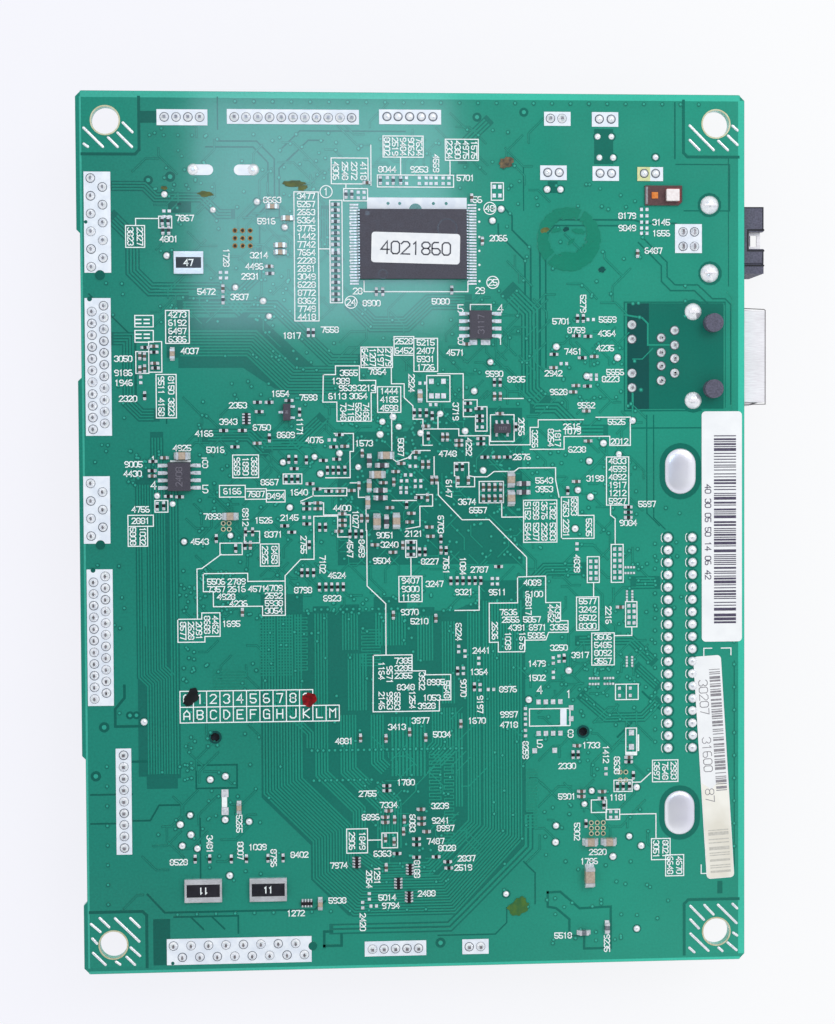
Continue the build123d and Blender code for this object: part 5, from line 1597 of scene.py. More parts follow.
@dataclass
class SenseResistors:
    """The three wide current-sense resistors: a dark element inside a frame of bright folded metal."""

    side_band: float = 0.36
    strip_share: float = 0.84
    long_body: float = 6.0
    rib: float = 0.1
    fold: float = 0.3

    def build(self) -> None:
        """Builds the folded frames and the values in plain figures."""
        metal = bmesh.new()
        bodies = solids_of("sense_resistor_bodies")
        for cap in solids_of("sense_resistor_caps"):
            body = min(bodies, key=lambda b: math.dist((b.x, b.y), (cap.x, cap.y)))
            outward = 1 if cap.y > body.y else -1
            share_open = self.strip_share if body.length < self.long_body else 1.0
            edge = body.y + outward * body.width / 2 * share_open
            far = cap.y + outward * cap.width / 2
            for share in (0.3, 0.72):
                y, reach = edge + (far - edge) * share, cap.length / 2 - 0.06
                box_between(
                    metal, (cap.x - reach, y - self.rib, cap.high),
                    (cap.x + reach, y + self.rib, cap.high + 0.035),
                )
            reach = cap.length / 2 - 0.02
            box_between(metal, (cap.x - reach, edge, self.fold), (cap.x + reach, cap.y, cap.high + 0.02))
        for body in bodies:
            for side in (-1, 1):
                far, half = body.x + side * body.length / 2, body.width / 2
                near = far - side * self.side_band
                box_between(metal, (near, body.y - half, self.fold), (far, body.y + half, body.high + 0.06))
        add_piece("sense_resistor_frames", metal, [TIN])
        marks = Layer(0.01, base=bodies[0].high)
        for body, words, turn in zip(bodies, ("47", "11", "11"), (0.0, 180.0, 0.0)):
            marks.text(words, body.x, body.y, 1.0, turn, 0.2)
        marks.lay("sense_resistor_values", SILK, slot="sticker_paper")


# ---------------------------------------------------------------------------------------- white print
class Room:
    """Which parts of one board face are taken, so that a part's number finds a clear place."""

    def __init__(self, width: float, length: float, cell: float = 0.25) -> None:
        """Starts with the whole face free.

        Args:
            width: the face's size along X.
            length: the face's size along Y.
            cell: the grid's step.
        """
        self.cell = cell
        self.columns = int(width / cell) + 1
        self.rows = int(length / cell) + 1
        self.taken = bytearray(self.columns * self.rows)

    def cells(self, x0: float, y0: float, x1: float, y1: float) -> list[slice]:
        """The grid's cells under a rectangle, as one slice for each row."""
        c0, c1 = max(int(x0 / self.cell), 0), min(int(x1 / self.cell) + 1, self.columns)
        r0, r1 = max(int(y0 / self.cell), 0), min(int(y1 / self.cell) + 1, self.rows)
        return [slice(r * self.columns + c0, r * self.columns + c1) for r in range(r0, r1)]

    def take(self, x0: float, y0: float, x1: float, y1: float) -> None:
        """Marks a rectangle as taken."""
        for part in self.cells(x0, y0, x1, y1):
            self.taken[part] = b"\x01" * len(self.taken[part])

    def take_about(self, x: float, y: float, across: float, up: float) -> None:
        """Marks a rectangle about its middle as taken, given half its size each way."""
        self.take(x - across, y - up, x + across, y + up)

    def clear(self, x: float, y: float, across: float, up: float) -> bool:
        """Whether a rectangle about its middle lies on the board and nothing is in it."""
        inside_x = x - across >= FREE_EDGE and x + across <= BOARD_WIDTH - FREE_EDGE
        inside_y = y - up >= FREE_EDGE and y + up <= BOARD_LENGTH - FREE_EDGE
        cells = self.cells(x - across, y - up, x + across, y + up)
        return inside_x and inside_y and not any(any(self.taken[part]) for part in cells)


FREE_EDGE = 1.4
NUMBER_HEIGHT = 0.93
NUMBER_WEIGHT = 0.17
NUMBER_LENGTH = (4 * GLYPH_ADVANCE - 1) * NUMBER_HEIGHT / GLYPH_UNITS
LINE_WIDTH = 0.17

# Outlined boxes in white print: (x0, y0, x1, y1).
BOXES = [
    (9.8, 103.1, 12.0, 106.8), (12.0, 103.3, 14.2, 108.5), (13.9, 127.8, 16.1, 129.8),
    (34.7, 84.1, 37.9, 85.8), (12.8, 79.4, 15.0, 81.4), (23.8, 72.0, 27.6, 74.0), (55.7, 71.3, 57.6, 74.2),
    (68.5, 80.6, 72.7, 84.3), (91.9, 30.0, 95.1, 32.0), (87.9, 26.4, 90.6, 28.6), (51.3, 20.9, 54.0, 23.5),
    (70.5, 91.2, 74.6, 95.8), (77.1, 41.7, 84.2, 44.7), (59.5, 98.1, 63.5, 102.6), (87.3, 66.6, 89.4, 71.1),
    (91.5, 66.6, 93.6, 73.2), (94.0, 58.8, 96.0, 63.2), (92.2, 46.1, 94.1, 48.8), (94.1, 46.1, 96.2, 48.8),
    (94.0, 36.4, 95.9, 41.1), (90.5, 25.1, 92.9, 26.9), (9.7, 111.0, 12.8, 112.95),
    (9.7, 108.4, 12.8, 110.4), (70.8, 132.7, 72.9, 135.7), (51.2, 134.9, 64.3, 136.95),
    (45.4, 132.5, 49.5, 134.6), (43.0, 115.1, 45.1, 132.6), (28.0, 74.0, 30.6, 76.0),
]
# Boxes that list part numbers: (x0, y0, x1, y1, columns, rows, turn).
LISTS = [
    (36.9, 112.0, 41.05, 134.0, 1, 16, 0), (14.9, 108.2, 18.9, 113.8, 1, 4, 0),
    (52.2, 140.0, 59.1, 143.6, 5, 1, -90), (62.9, 139.5, 68.6, 143.1, 4, 1, -90),
    (43.3, 135.4, 49.6, 139.8, 4, 1, -90), (76.2, 73.7, 82.0, 81.0, 4, 2, -90),
    (90.7, 80.05, 94.6, 88.4, 1, 6, 0), (85.4, 58.3, 89.3, 64.1, 1, 4, 0),
    (88.05, 52.2, 92.0, 57.8, 1, 4, 0), (98.7, 31.6, 103.2, 35.4, 3, 1, -90),
    (98.5, 17.9, 101.8, 21.6, 2, 1, -90), (101.0, 15.0, 104.2, 18.7, 2, 1, -90),
    (45.2, 20.1, 48.8, 24.3, 2, 1, -90), (13.2, 95.5, 16.6, 102.9, 2, 2, -90),
    (8.3, 124.5, 11.5, 128.2, 2, 1, -90), (8.2, 77.0, 12.5, 78.9, 1, 1, 0),
    (8.2, 73.6, 11.5, 77.0, 2, 1, -90), (23.8, 81.9, 28.2, 83.9, 1, 1, 0),
    (28.2, 81.5, 31.8, 83.3, 1, 1, 0), (31.8, 81.0, 35.0, 83.0, 1, 1, 0),
    (26.1, 85.2, 30.5, 89.1, 3, 1, -90), (30.7, 70.0, 33.9, 73.8, 2, 1, -90),
    (48.2, 104.0, 53.6, 107.5, 4, 1, -90), (53.9, 106.1, 57.3, 109.3, 1, 2, 0),
    (57.3, 103.3, 61.4, 109.0, 1, 4, 0), (51.0, 96.3, 55.0, 100.7, 1, 3, 0),
    (54.5, 63.6, 58.5, 68.0, 1, 3, 0),
]
# Plain part numbers inside the larger outlines: places of level ones, and of ones that read downwards.
LEVEL_NUMBERS = [
    (46.1, 103.1), (44.7, 101.7), (45.9, 100.5), (49.1, 100.5), (44.1, 99.1), (47.7, 99.1), (51.0, 103.3),
    (23.1, 67.4), (26.6, 67.4), (23.1, 66.1), (26.6, 66.1), (30.1, 66.1), (24.8, 64.8), (26.9, 63.6),
    (32.95, 66.2), (32.95, 64.9), (32.95, 63.6), (32.95, 62.3), (55.2, 53.4), (55.2, 52.1), (55.2, 50.8),
    (55.6, 48.8), (60.8, 49.6), (60.1, 46.9), (59.2, 45.5), (77.7, 66.7), (78.0, 64.7), (73.5, 61.6),
    (73.9, 60.3), (77.6, 60.3), (75.0, 58.9), (78.6, 58.9), (78.4, 57.5), (82.3, 58.9), (84.7, 93.7),
    (84.7, 92.9), (92.5, 94.5), (93.0, 91.1),
]
DOWN_NUMBERS = [
    (45.1, 96.4), (46.4, 96.4), (47.7, 96.4), (49.0, 96.4), (17.4, 59.0), (18.75, 59.0), (20.1, 59.0),
    (21.5, 60.0), (22.9, 60.0), (51.4, 51.7), (52.8, 51.0), (51.4, 46.5), (52.8, 46.5), (54.1, 46.4),
    (56.7, 46.6), (58.4, 49.8), (62.7, 48.3), (77.0, 62.6), (71.1, 58.4), (73.4, 56.6), (75.9, 56.6),
    (80.9, 61.3), (82.1, 61.3), (83.6, 79.6), (83.6, 76.1), (85.0, 79.8), (87.6, 76.2), (81.0, 91.8),
    (82.2, 91.8), (78.2, 91.6),
]
# Outlines and leaders in white print, each a path.
LINES = [
    [(41.05, 124.3), (43.0, 124.3)], [(10.0, 128.2), (10.0, 129.4), (13.9, 129.4)],
    [(20.9, 68.8), (28.5, 68.8), (28.5, 67.4), (34.9, 67.4), (34.9, 61.5), (31.0, 61.5), (31.0, 63.1),
      (22.6, 63.1), (22.6, 65.7), (20.9, 65.7), (20.9, 68.8)],
    [(39.9, 76.0), (39.9, 71.1), (37.6, 71.1), (34.9, 68.3), (34.9, 67.4)],
    [(16.5, 61.0), (20.6, 61.0), (20.6, 62.05), (23.7, 62.05), (23.7, 58.0), (21.1, 58.0), (21.1, 57.05),
      (16.5, 57.05), (16.5, 61.0)], [(24.0, 72.1), (20.7, 69.7), (19.85, 69.6), (19.85, 61.0)],
    [(41.7, 102.8), (43.8, 102.8), (43.8, 104.3), (47.9, 104.3), (47.9, 101.8), (50.7, 101.8),
      (50.7, 99.7), (49.9, 99.7), (49.9, 94.8), (44.0, 94.8), (44.0, 98.1), (41.6, 98.1), (41.7, 102.8)],
    [(55.2, 136.95), (55.2, 139.9)], [(63.7, 136.95), (63.7, 139.5)], [(45.8, 134.6), (45.8, 135.4)],
    [(50.1, 135.2), (50.1, 142.0)], [(49.0, 76.0), (49.0, 66.4), (52.2, 63.3), (52.2, 54.4)],
    [(50.0, 54.4), (56.7, 54.4), (56.7, 51.6), (59.0, 51.6), (59.0, 50.9), (63.4, 50.9), (63.4, 46.5),
      (61.4, 46.5), (61.4, 44.6), (49.9, 44.6), (50.0, 54.4)], [(56.6, 68.1), (56.6, 71.3)],
    [(61.4, 84.2), (61.4, 82.0), (65.5, 77.7), (70.2, 77.7), (75.1, 72.7), (75.8, 72.05), (76.7, 71.1),
      (76.7, 67.7)],
    [(75.1, 67.7), (80.0, 67.8), (80.0, 63.2), (82.6, 63.2), (82.6, 60.0), (83.9, 60.0), (83.9, 58.0),
      (80.5, 58.0), (80.0, 56.7), (76.3, 56.7), (76.3, 54.7), (71.7, 54.7), (71.7, 56.4), (70.15, 56.4),
      (70.15, 63.2), (75.1, 63.2), (75.1, 67.7)], [(72.4, 80.6), (72.4, 78.1), (76.2, 78.1)],
    [(91.4, 80.0), (91.4, 78.3), (92.2, 77.7), (92.2, 73.2)], [(88.4, 64.1), (88.4, 66.6)],
    [(92.0, 57.3), (95.1, 57.3), (95.1, 58.8)], [(95.1, 31.6), (96.6, 31.6), (98.4, 33.2)],
    [(92.9, 26.0), (99.3, 26.0), (99.3, 21.7)], [(48.8, 22.3), (51.3, 22.3)],
    [(48.8, 118.8), (48.8, 117.0), (66.7, 117.0), (66.7, 118.8)],
    [(67.1, 113.9), (67.1, 114.8), (70.7, 114.8), (70.7, 113.9)], [(107.8, 54.9), (109.2, 54.9)],
    [(107.8, 54.9), (107.8, 53.6)], [(110.9, 54.9), (112.6, 54.9)], [(112.6, 54.9), (112.6, 53.7)],
    [(107.3, 16.8), (107.3, 15.3), (108.2, 15.3)], [(20.9, 88.6), (21.6, 88.6)],
    [(64.2, 62.0), (68.4, 62.0), (68.4, 66.2)], [(72.8, 98.6), (76.2, 98.6)],
    [(43.5, 92.7), (46.8, 92.7), (46.8, 89.6), (46.2, 89.6), (46.2, 85.1), (42.0, 85.1)],
    [(37.7, 81.1), (39.8, 82.0), (39.8, 83.3), (45.6, 83.3), (45.6, 82.0), (39.8, 82.0)],
    [(37.7, 80.8), (41.6, 80.8), (41.6, 78.7), (46.2, 78.7), (46.2, 74.9), (44.0, 74.9), (44.0, 78.5),
      (39.9, 78.5), (39.9, 76.0)], [(53.4, 96.2), (53.4, 89.7)],
    [(53.4, 88.4), (54.2, 87.8), (56.3, 88.5), (57.3, 89.7), (60.0, 89.7)],
    [(60.7, 88.6), (60.7, 85.2), (61.4, 84.2)], [(53.4, 81.1), (57.6, 81.1)],
    [(57.6, 82.1), (60.4, 82.1), (60.4, 80.1), (58.2, 80.1), (58.2, 76.6), (55.8, 76.2)],
    [(46.2, 84.2), (47.6, 84.2), (47.6, 81.7), (48.9, 81.7), (48.9, 76.0)],
    [(61.4, 102.9), (65.8, 102.9), (65.8, 95.5), (67.9, 95.5), (67.9, 93.0), (69.9, 93.0), (69.9, 97.2),
      (68.2, 97.2), (68.2, 98.4), (65.8, 98.4)],
    [(59.0, 93.4), (65.0, 93.4), (65.0, 92.2), (70.3, 92.2), (70.3, 90.6), (77.4, 90.6), (77.4, 93.6),
      (78.8, 93.6), (78.8, 94.9), (86.7, 94.9)],
    [(53.4, 104.0), (53.4, 101.2), (55.6, 101.2), (55.6, 98.8), (57.1, 97.4), (57.1, 95.1), (58.8, 95.1),
      (58.8, 90.6), (60.4, 90.6)], [(61.4, 96.0), (61.4, 93.4)],
    [(64.5, 85.3), (64.2, 85.3), (64.2, 87.6), (66.7, 87.6), (66.7, 85.3), (67.7, 85.1), (67.7, 83.4),
      (64.5, 83.4), (64.5, 85.3)],
    [(67.7, 85.1), (69.9, 85.1), (71.1, 86.0), (74.6, 86.0), (75.4, 86.6), (81.8, 86.6), (81.8, 84.5),
      (82.4, 81.5)],
    [(88.9, 95.3), (94.9, 95.3), (94.9, 90.4), (91.3, 90.4), (91.3, 92.0), (83.3, 92.0), (83.3, 89.8),
      (77.4, 89.8)],
    [(82.8, 74.3), (82.8, 81.5), (85.7, 81.5), (85.7, 78.3), (88.5, 78.3), (88.5, 74.3), (82.8, 74.3)],
]
# Broader strokes in white print: (points, width).
THICK_LINES = [
    ([(x0, y), (x1, y)], 0.25)
    for y in (112.25, 111.6, 109.75, 109.1)
    for x0, x1 in ((9.9, 10.7), (11.3, 12.1))
] + [
    ([(24.2, 28.95), (24.2, 29.85)], 0.9), ([(94.2, 36.7), (95.7, 36.7)], 0.5),
    ([(15.6, 88.1), (18.8, 88.1)], 0.3),
    ([(58.4, 98.1), (58.4, 99.2)], 0.3), ([(96.2, 39.8), (96.2, 37.2)], 0.3),
]
# Larger plain numbers: (words, x, y, height).
BIG_NUMBERS = [
    ("24", 46.55, 115.2, 1.0), ("1", 42.4, 134.05, 1.1), ("48", 70.55, 131.3, 1.0),
    ("25", 71.0, 118.6, 1.0), ("56", 68.4, 132.8, 1.0), ("28", 47.7, 117.1, 1.0), ("29", 68.8, 117.2, 1.0),
    ("5", 65.4, 114.1, 1.3), ("4", 72.3, 114.1, 1.3), ("8", 65.4, 108.6, 1.3), ("1", 72.3, 108.6, 1.3),
    ("8", 21.4, 87.6, 1.3), ("5", 21.4, 83.3, 1.3), ("4", 12.6, 84.0, 1.3), ("1", 12.6, 88.4, 1.0),
    ("4", 78.9, 48.0, 1.3), ("1", 84.0, 47.2, 1.2), ("5", 78.9, 38.6, 1.3), ("8", 84.3, 40.3, 1.3),
]
# Where no part's number goes: (x0, y0, x1, y1).
KEEP_CLEAR = [
    (106.9, 55.6, 115.0, 96.8), (105.5, 13.9, 113.8, 54.4), (45.8, 118.0, 69.5, 134.2),
    (98.7, 36.4, 107.2, 75.6), (94.0, 96.0, 112.0, 115.4), (99.9, 80.6, 107.4, 91.2),
    (99.9, 21.8, 107.2, 30.6), (16.5, 42.9, 44.4, 48.9), (107.0, 117.9, 111.0, 134.0),
    (77.9, 119.8, 90.5, 132.5), (1.0, 141.0, 10.8, 150.0), (104.3, 141.0, 114.0, 150.0),
    (1.0, 1.0, 10.8, 10.8), (104.3, 1.0, 114.0, 10.8), (16.3, 11.3, 23.2, 16.3), (28.0, 11.3, 35.2, 16.3),
    (16.6, 118.6, 21.6, 125.2), (65.9, 107.4, 72.0, 115.6), (13.8, 82.0, 20.4, 88.6),
    (18.6, 136.3, 31.6, 139.2), (97.3, 131.7, 104.2, 135.5), (26.0, 124.0, 30.2, 128.2),
    (87.2, 22.0, 90.8, 25.3), (34.5, 133.8, 39.6, 136.6),
]
# White ovals that run from a pin to the side: (pin x, far x, y, radius).
PIN_OVALS = [(19.8, 22.3, 137.7, 0.9), (30.0, 27.6, 137.7, 0.9)]
# Green dots left free in the white panels: (x, y, radius, sides).
PANEL_DOTS = [
    (3.9, 119.8, 0.85, 18), (3.5, 73.9, 0.8, 18), (39.2, 4.05, 0.75, 18), (1.6, 128.8, 0.3, 18),
    (15.1, 1.6, 0.3, 18), (2.1, 115.75, 0.42, 12), (2.2, 69.55, 0.42, 12), (57.7, 131.0, 1.1, 20),
    (53.0, 132.1, 0.28, 8), (55.0, 132.1, 0.28, 8), (60.8, 132.1, 0.28, 8), (63.0, 132.1, 0.28, 8),
]
# White circles round the flash chip's numbered corners, and the dots beside its leads: (x, their y).
CORNER_CIRCLES = [(42.4, 134.05), (46.55, 115.2), (70.55, 131.3), (71.0, 118.6)]
LEAD_DOTS = [
    (46.5, (129.8, 128.7, 127.3, 126.3, 124.8, 123.8, 122.3, 121.3, 119.8)),
    (68.7, (131.1, 129.0, 126.4, 124.0, 121.6, 118.8)),
]
# Plain figures printed on the chips: (the body's CAD node, figures).
CHIP_FIGURES = [
    ("eeprom_chip_body", "2408"), ("driver_chip_body", "3117"), ("regulator_body", "1117"),
    ("transistor_body", "34"),
]


@dataclass
class WhitePrint:
    """All the white print on the solder side."""

    draw: random.Random = field(default_factory=lambda: random.Random(20))
    height: float = 0.118
    panel_height: float = 0.104
    room: Room = field(default_factory=lambda: Room(BOARD_WIDTH, BOARD_LENGTH))

    def number(self) -> str:
        """Draws a plain number of four figures."""
        return str(self.draw.randrange(1000, 10000))

    def print_number(self, layer: Layer, x: float, y: float, turn: float) -> None:
        """Prints one plain number about its middle."""
        layer.text(self.number(), x, y, NUMBER_HEIGHT, turn, NUMBER_WEIGHT)

    def panels(self) -> None:
        """Prints the solid panels under the connectors and the ovals by the wire link, with the green dots
        left free in them and one yellowed end.
        """
        layer, dots, aged = Layer(self.panel_height), Layer(self.height), Layer(self.height)
        for panel in PANELS:
            layer.block(*panel)
        for pin_x, far_x, y, radius in PIN_OVALS:
            oval = stadium(0.0, 0.0, 2 * radius, abs(far_x - pin_x) + 2 * radius, 8)
            layer.polygon([((pin_x + far_x) / 2 + v, y - u) for u, v in oval])
        layer.lay("white_panels", SILK_BOX, slot="sticker_paper")
        for dot in PANEL_DOTS:
            dots.disc(*dot)
        dots.lay("panel_marks", POUR_DARK)
        aged.block(96.2, 136.1, 98.45, 138.5)
        aged.lay("yellowed_panel_end", YELLOWED, slot="sticker_paper")

    def outlines(self) -> None:
        """Prints the boxes, the leaders, the circles and the brackets beside the filled holes."""
        layer = Layer(self.height)
        for box in BOXES:
            layer.frame_box(*box, LINE_WIDTH)
        for path in LINES:
            layer.path(path, LINE_WIDTH)
        for path, width in THICK_LINES:
            layer.path(path, width)
        for x, y in CORNER_CIRCLES:
            layer.ring(x, y, 1.12, 0.96, 20)
        for i in range(PORT_ROWS):
            y = PORT_TOP - PORT_STEP * i
            for x in (100.3, 104.6):
                layer.path([(x + 0.22, y + 0.7), (x, y + 0.35), (x, y - 0.35), (x + 0.22, y - 0.7)], 0.11)
        for x, rows in LEAD_DOTS:
            for y in rows:
                layer.disc(x, y, 0.2, 8)
        layer.lay("white_outlines", SILK, slot="sticker_paper")

    def lists(self) -> None:
        """Prints the lists of part numbers, the loose numbers and the larger ones."""
        layer = Layer(self.height)
        for x0, y0, x1, y1, columns, rows, turn in LISTS:
            layer.frame_box(x0, y0, x1, y1, LINE_WIDTH)
            for i in range(columns):
                for j in range(rows):
                    x, y = x0 + (x1 - x0) * (i + 0.5) / columns, y1 - (y1 - y0) * (j + 0.5) / rows
                    self.print_number(layer, x, y, turn)
        for places, turn in ((LEVEL_NUMBERS, 0), (DOWN_NUMBERS, -90)):
            for x, y in places:
                self.print_number(layer, x, y, turn)
        for text, x, y, height in BIG_NUMBERS:
            layer.text(text, x, y, height, 0.0, NUMBER_WEIGHT)
        layer.lay("white_lists", SILK, slot="sticker_paper")

    def table(self) -> None:
        """Prints the small two-row table of plain characters."""
        layer = Layer(self.height)
        left, step = 16.75, 2.276
        top, middle, bottom = 48.6, 45.85, 43.15
        for y, columns in ((top, 10), (middle, 12), (bottom, 12)):
            layer.stroke((left, y), (left + columns * step, y), LINE_WIDTH)
        for i in range(13):
            layer.stroke((left + i * step, bottom), (left + i * step, top if i < 11 else middle), LINE_WIDTH)
        for row, words in (((top + middle) / 2, "0123456789"), ((middle + bottom) / 2, "ABCDEFGHJKLM")):
            for i, word in enumerate(words):
                layer.text(word, left + (i + 0.5) * step, row, 1.5, weight=0.2)
        layer.lay("character_table", SILK, slot="sticker_paper")

    def fill_room(self) -> None:
        """Marks everything that a part's number has to keep clear of."""
        room = self.room
        for x0, y0, x1, y1, *_ in PANELS + BOXES + LISTS:
            room.take(x0 - 0.2, y0 - 0.2, x1 + 0.2, y1 + 0.2)
        for path in LINES:
            for a, b in zip(path, path[1:]):
                steps = max(int(math.dist(a, b) / 0.3), 1)
                for i in range(steps + 1):
                    share = i / steps
                    room.take_about(a[0] + (b[0] - a[0]) * share, a[1] + (b[1] - a[1]) * share, 0.15, 0.15)
        for area in KEEP_CLEAR:
            room.take(*area)
        for places, across, up in (
            (SOLDER_DOTS, DOT_RADIUS + 0.3, DOT_RADIUS + 0.3), (LOCATING_HOLES, 1.3, 1.3),
            (EMPTY_PAIRS_X, 1.0, 0.45),
            (EMPTY_PAIRS_Y, 0.45, 1.0), (LEVEL_NUMBERS, 1.7, 0.6), (DOWN_NUMBERS, 0.6, 1.7),
        ):
            for x, y in places:
                room.take_about(x, y, across, up)
        for x0, y0, columns, rows, step_x, step_y, size in LAND_BLOCKS:
            x1, y1 = x0 + step_x * (columns - 1), y0 - step_y * (rows - 1)
            room.take(x0 - size, y1 - size, x1 + size, y0 + size)
        for _, x, y, height in BIG_NUMBERS:
            room.take_about(x, y, height, height)
        for span in (span for node in NUMBERED for span in solids_of(node)):
            extra = 0.35 if max(span.length, span.width) < 3.5 else 0.8
            half_x = span.length / 2 + (extra if span.along_x else 0.1)
            half_y = span.width / 2 + (0.1 if span.along_x else extra)
            room.take_about(span.x, span.y, half_x, half_y)

    def part_numbers(self) -> None:
        """Prints a plain number beside every small part, wherever there is room for it."""
        layers = {"left": Layer(self.height), "right": Layer(self.height)}
        spans = [span for node in NUMBERED for span in solids_of(node)]
        spans += [Span(x, y, 1.9, 0.6, 0, 0) for x, y in EMPTY_PAIRS_X]
        spans += [Span(x, y, 0.6, 1.9, 0, 0) for x, y in EMPTY_PAIRS_Y]
        self.draw.shuffle(spans)
        placed = 0
        half_l, half_h = NUMBER_LENGTH / 2 + 0.15, NUMBER_HEIGHT / 2 + 0.1
        for span in spans:
            words = self.number()
            x_step = span.length / 2 + (0.4 if span.along_x else 0.15)
            y_step = span.width / 2 + (0.15 if span.along_x else 0.4)
            # The places on one side of the part; each has its opposite on the other side.
            steps = [
                (x_step + half_l, 0.0, 0.0), (0.0, y_step + half_h, 0.0), (x_step + half_h, 0.0, -90.0),
                (half_l * 0.6, y_step + half_h, 0.0), (x_step + half_l + 0.8, 0.5, 0.0),
                (half_l + 0.3, y_step + half_h + 0.5, 0.0), (x_step + half_h + 0.6, 1.4, -90.0),
                (0.0, y_step + half_l, -90.0),
            ]
            if not span.along_x:
                steps = [steps[7], steps[2], *steps[:2], *steps[3:7]]
            for dx, dy, turn in ((dx * side, dy * side, turn) for dx, dy, turn in steps for side in (1, -1)):
                x, y = span.x + dx, span.y + dy
                across, up = (half_l, half_h) if turn == 0.0 else (half_h, half_l)
                if self.room.clear(x, y, across, up):
                    side = "left" if x < BOARD_WIDTH / 2 else "right"
                    layers[side].text(words, x, y, NUMBER_HEIGHT, turn, NUMBER_WEIGHT)
                    self.room.take_about(x, y, across, up)
                    placed += 1
                    break
        log.info("part numbers: %d of %d placed", placed, len(spans))
        for side, layer in layers.items():
            layer.lay(f"part_numbers_{side}", SILK, slot="sticker_paper")

    def build(self) -> None:
        """Builds all the print on the solder side."""
        self.panels()
        self.outlines()
        self.lists()
        self.table()
        self.fill_room()
        self.part_numbers()


NUMBERED = [row.node for row in CHIP_ROWS] + ["resistor_arrays"]


# ---------------------------------------------------------------------------------- labels, ink and stains
@dataclass
class Labels:
    """The two paper labels and the sticker: printed bars and plain numbers."""

    draw: random.Random = field(default_factory=lambda: random.Random(5))
    ink: float = 0.012
    bar_steps: tuple[int, ...] = (1, 1, 1, 2, 2, 3)

    def bars(self, layer: Layer, x0: float, x1: float, low: float, high: float, fine: float) -> None:
        """Prints bars across a label.

        Args:
            layer: the layer they go on.
            x0: their left ends.
            x1: their right ends.
            low: where the first bar starts.
            high: where the last one ends.
            fine: the thinnest bar.
        """
        y = low
        while y < high:
            thick = fine * self.draw.choice(self.bar_steps)
            layer.block(x0, y, x1, min(y + thick, high))
            y += thick + fine * self.draw.choice(self.bar_steps)

    def sheet(
        self, node: str, finish: Finish, length: float, width: float, corner: float, turn: float
    ) -> tuple[Matrix, float]:
        """Models one label as a thin sheet with round corners, in place of its CAD solid.

        Args:
            node: the label's CAD node.
            finish: its finish.
            length: its size along X.
            width: its size along Y.
            corner: its corners' radius.
            turn: how far it is turned, in degrees.

        Returns:
            The step from the label's middle to the board, and the height of its face.
        """
        span = solids_of(node)[0]
        place = Matrix.Translation((span.x, span.y, 0.0)) @ Matrix.Rotation(math.radians(turn), 4, "Z")
        shape = bmesh.new()
        verts = box_between(shape, (-length / 2, -width / 2, span.low), (length / 2, width / 2, span.high))
        edges = {edge for vert in verts for edge in vert.link_edges}
        upright = [edge for edge in edges if abs(edge.verts[0].co.z - edge.verts[1].co.z) > 1e-4]
        bmesh.ops.bevel(
            shape, geom=upright, offset=corner, offset_type="OFFSET", segments=6, profile=0.5, affect="EDGES",
            material=-1,
        )
        shape.transform(place)
        add_piece(f"{node}_sheet", shape, [finish], [node])
        return place, span.high

    def address(self) -> None:
        """Prints the tall clean label."""
        place, face = self.sheet("address_label", LABEL, 7.1, 40.2, 0.7, 0.0)
        layer = Layer(self.ink, base=face)
        self.bars(layer, -1.4, 2.5, -16.9, 16.0, 0.17)
        layer.text("40 30 05 50 14 06 42", -2.45, -0.9, 1.0, -90.0, 0.15)
        layer.lay("address_print", LABEL_INK, slot="label_film", place=place)

    def serial(self) -> None:
        """Prints the slanting label, with its worn patch and the bars that have faded there."""
        place, face = self.sheet("serial_label", LABEL, 4.9, 39.2, 0.7, 3.5)
        worn, ink, faint = Layer(0.005, base=face), Layer(self.ink, base=face), Layer(self.ink, base=face)
        worn.polygon([
            (-2.36, -19.2), (-1.9, -19.5), (1.9, -19.5), (2.36, -19.2), (2.36, -3.6), (0.9, -2.2),
            (-0.6, -3.9), (-2.36, -2.6),
        ])
        self.bars(ink, 0.2, 2.1, -4.2, 17.2, 0.16)
        for words, y in (("30207", 12.4), ("31600", 2.3), ("87", -4.9)):
            ink.text(words, -1.0, y, 1.5, -90.0, 0.13)
        self.bars(faint, -1.7, 1.9, -18.6, -10.4, 0.2)
        worn.lay("worn_label_patch", LABEL_WORN, slot="label_film", place=place)
        ink.lay("serial_print", FADED_INK, slot="label_film", place=place)
        faint.lay("faded_print", LABEL_FAINT, slot="label_film", place=place)

    def sticker(self) -> None:
        """Prints one line of plain figures on the flash chip's sticker."""
        place, face = self.sheet("flash_chip_sticker", STICKER, 15.2, 5.2, 0.55, -1.5)
        layer = Layer(self.ink, base=face)
        layer.text("4021860", 0.0, 0.0, 2.1, 0.0, 0.24)
        layer.lay("sticker_print", STICKER_INK, slot="sticker_paper", place=place)

    def build(self) -> None:
        """Prints every label."""
        self.address()
        self.serial()
        self.sticker()


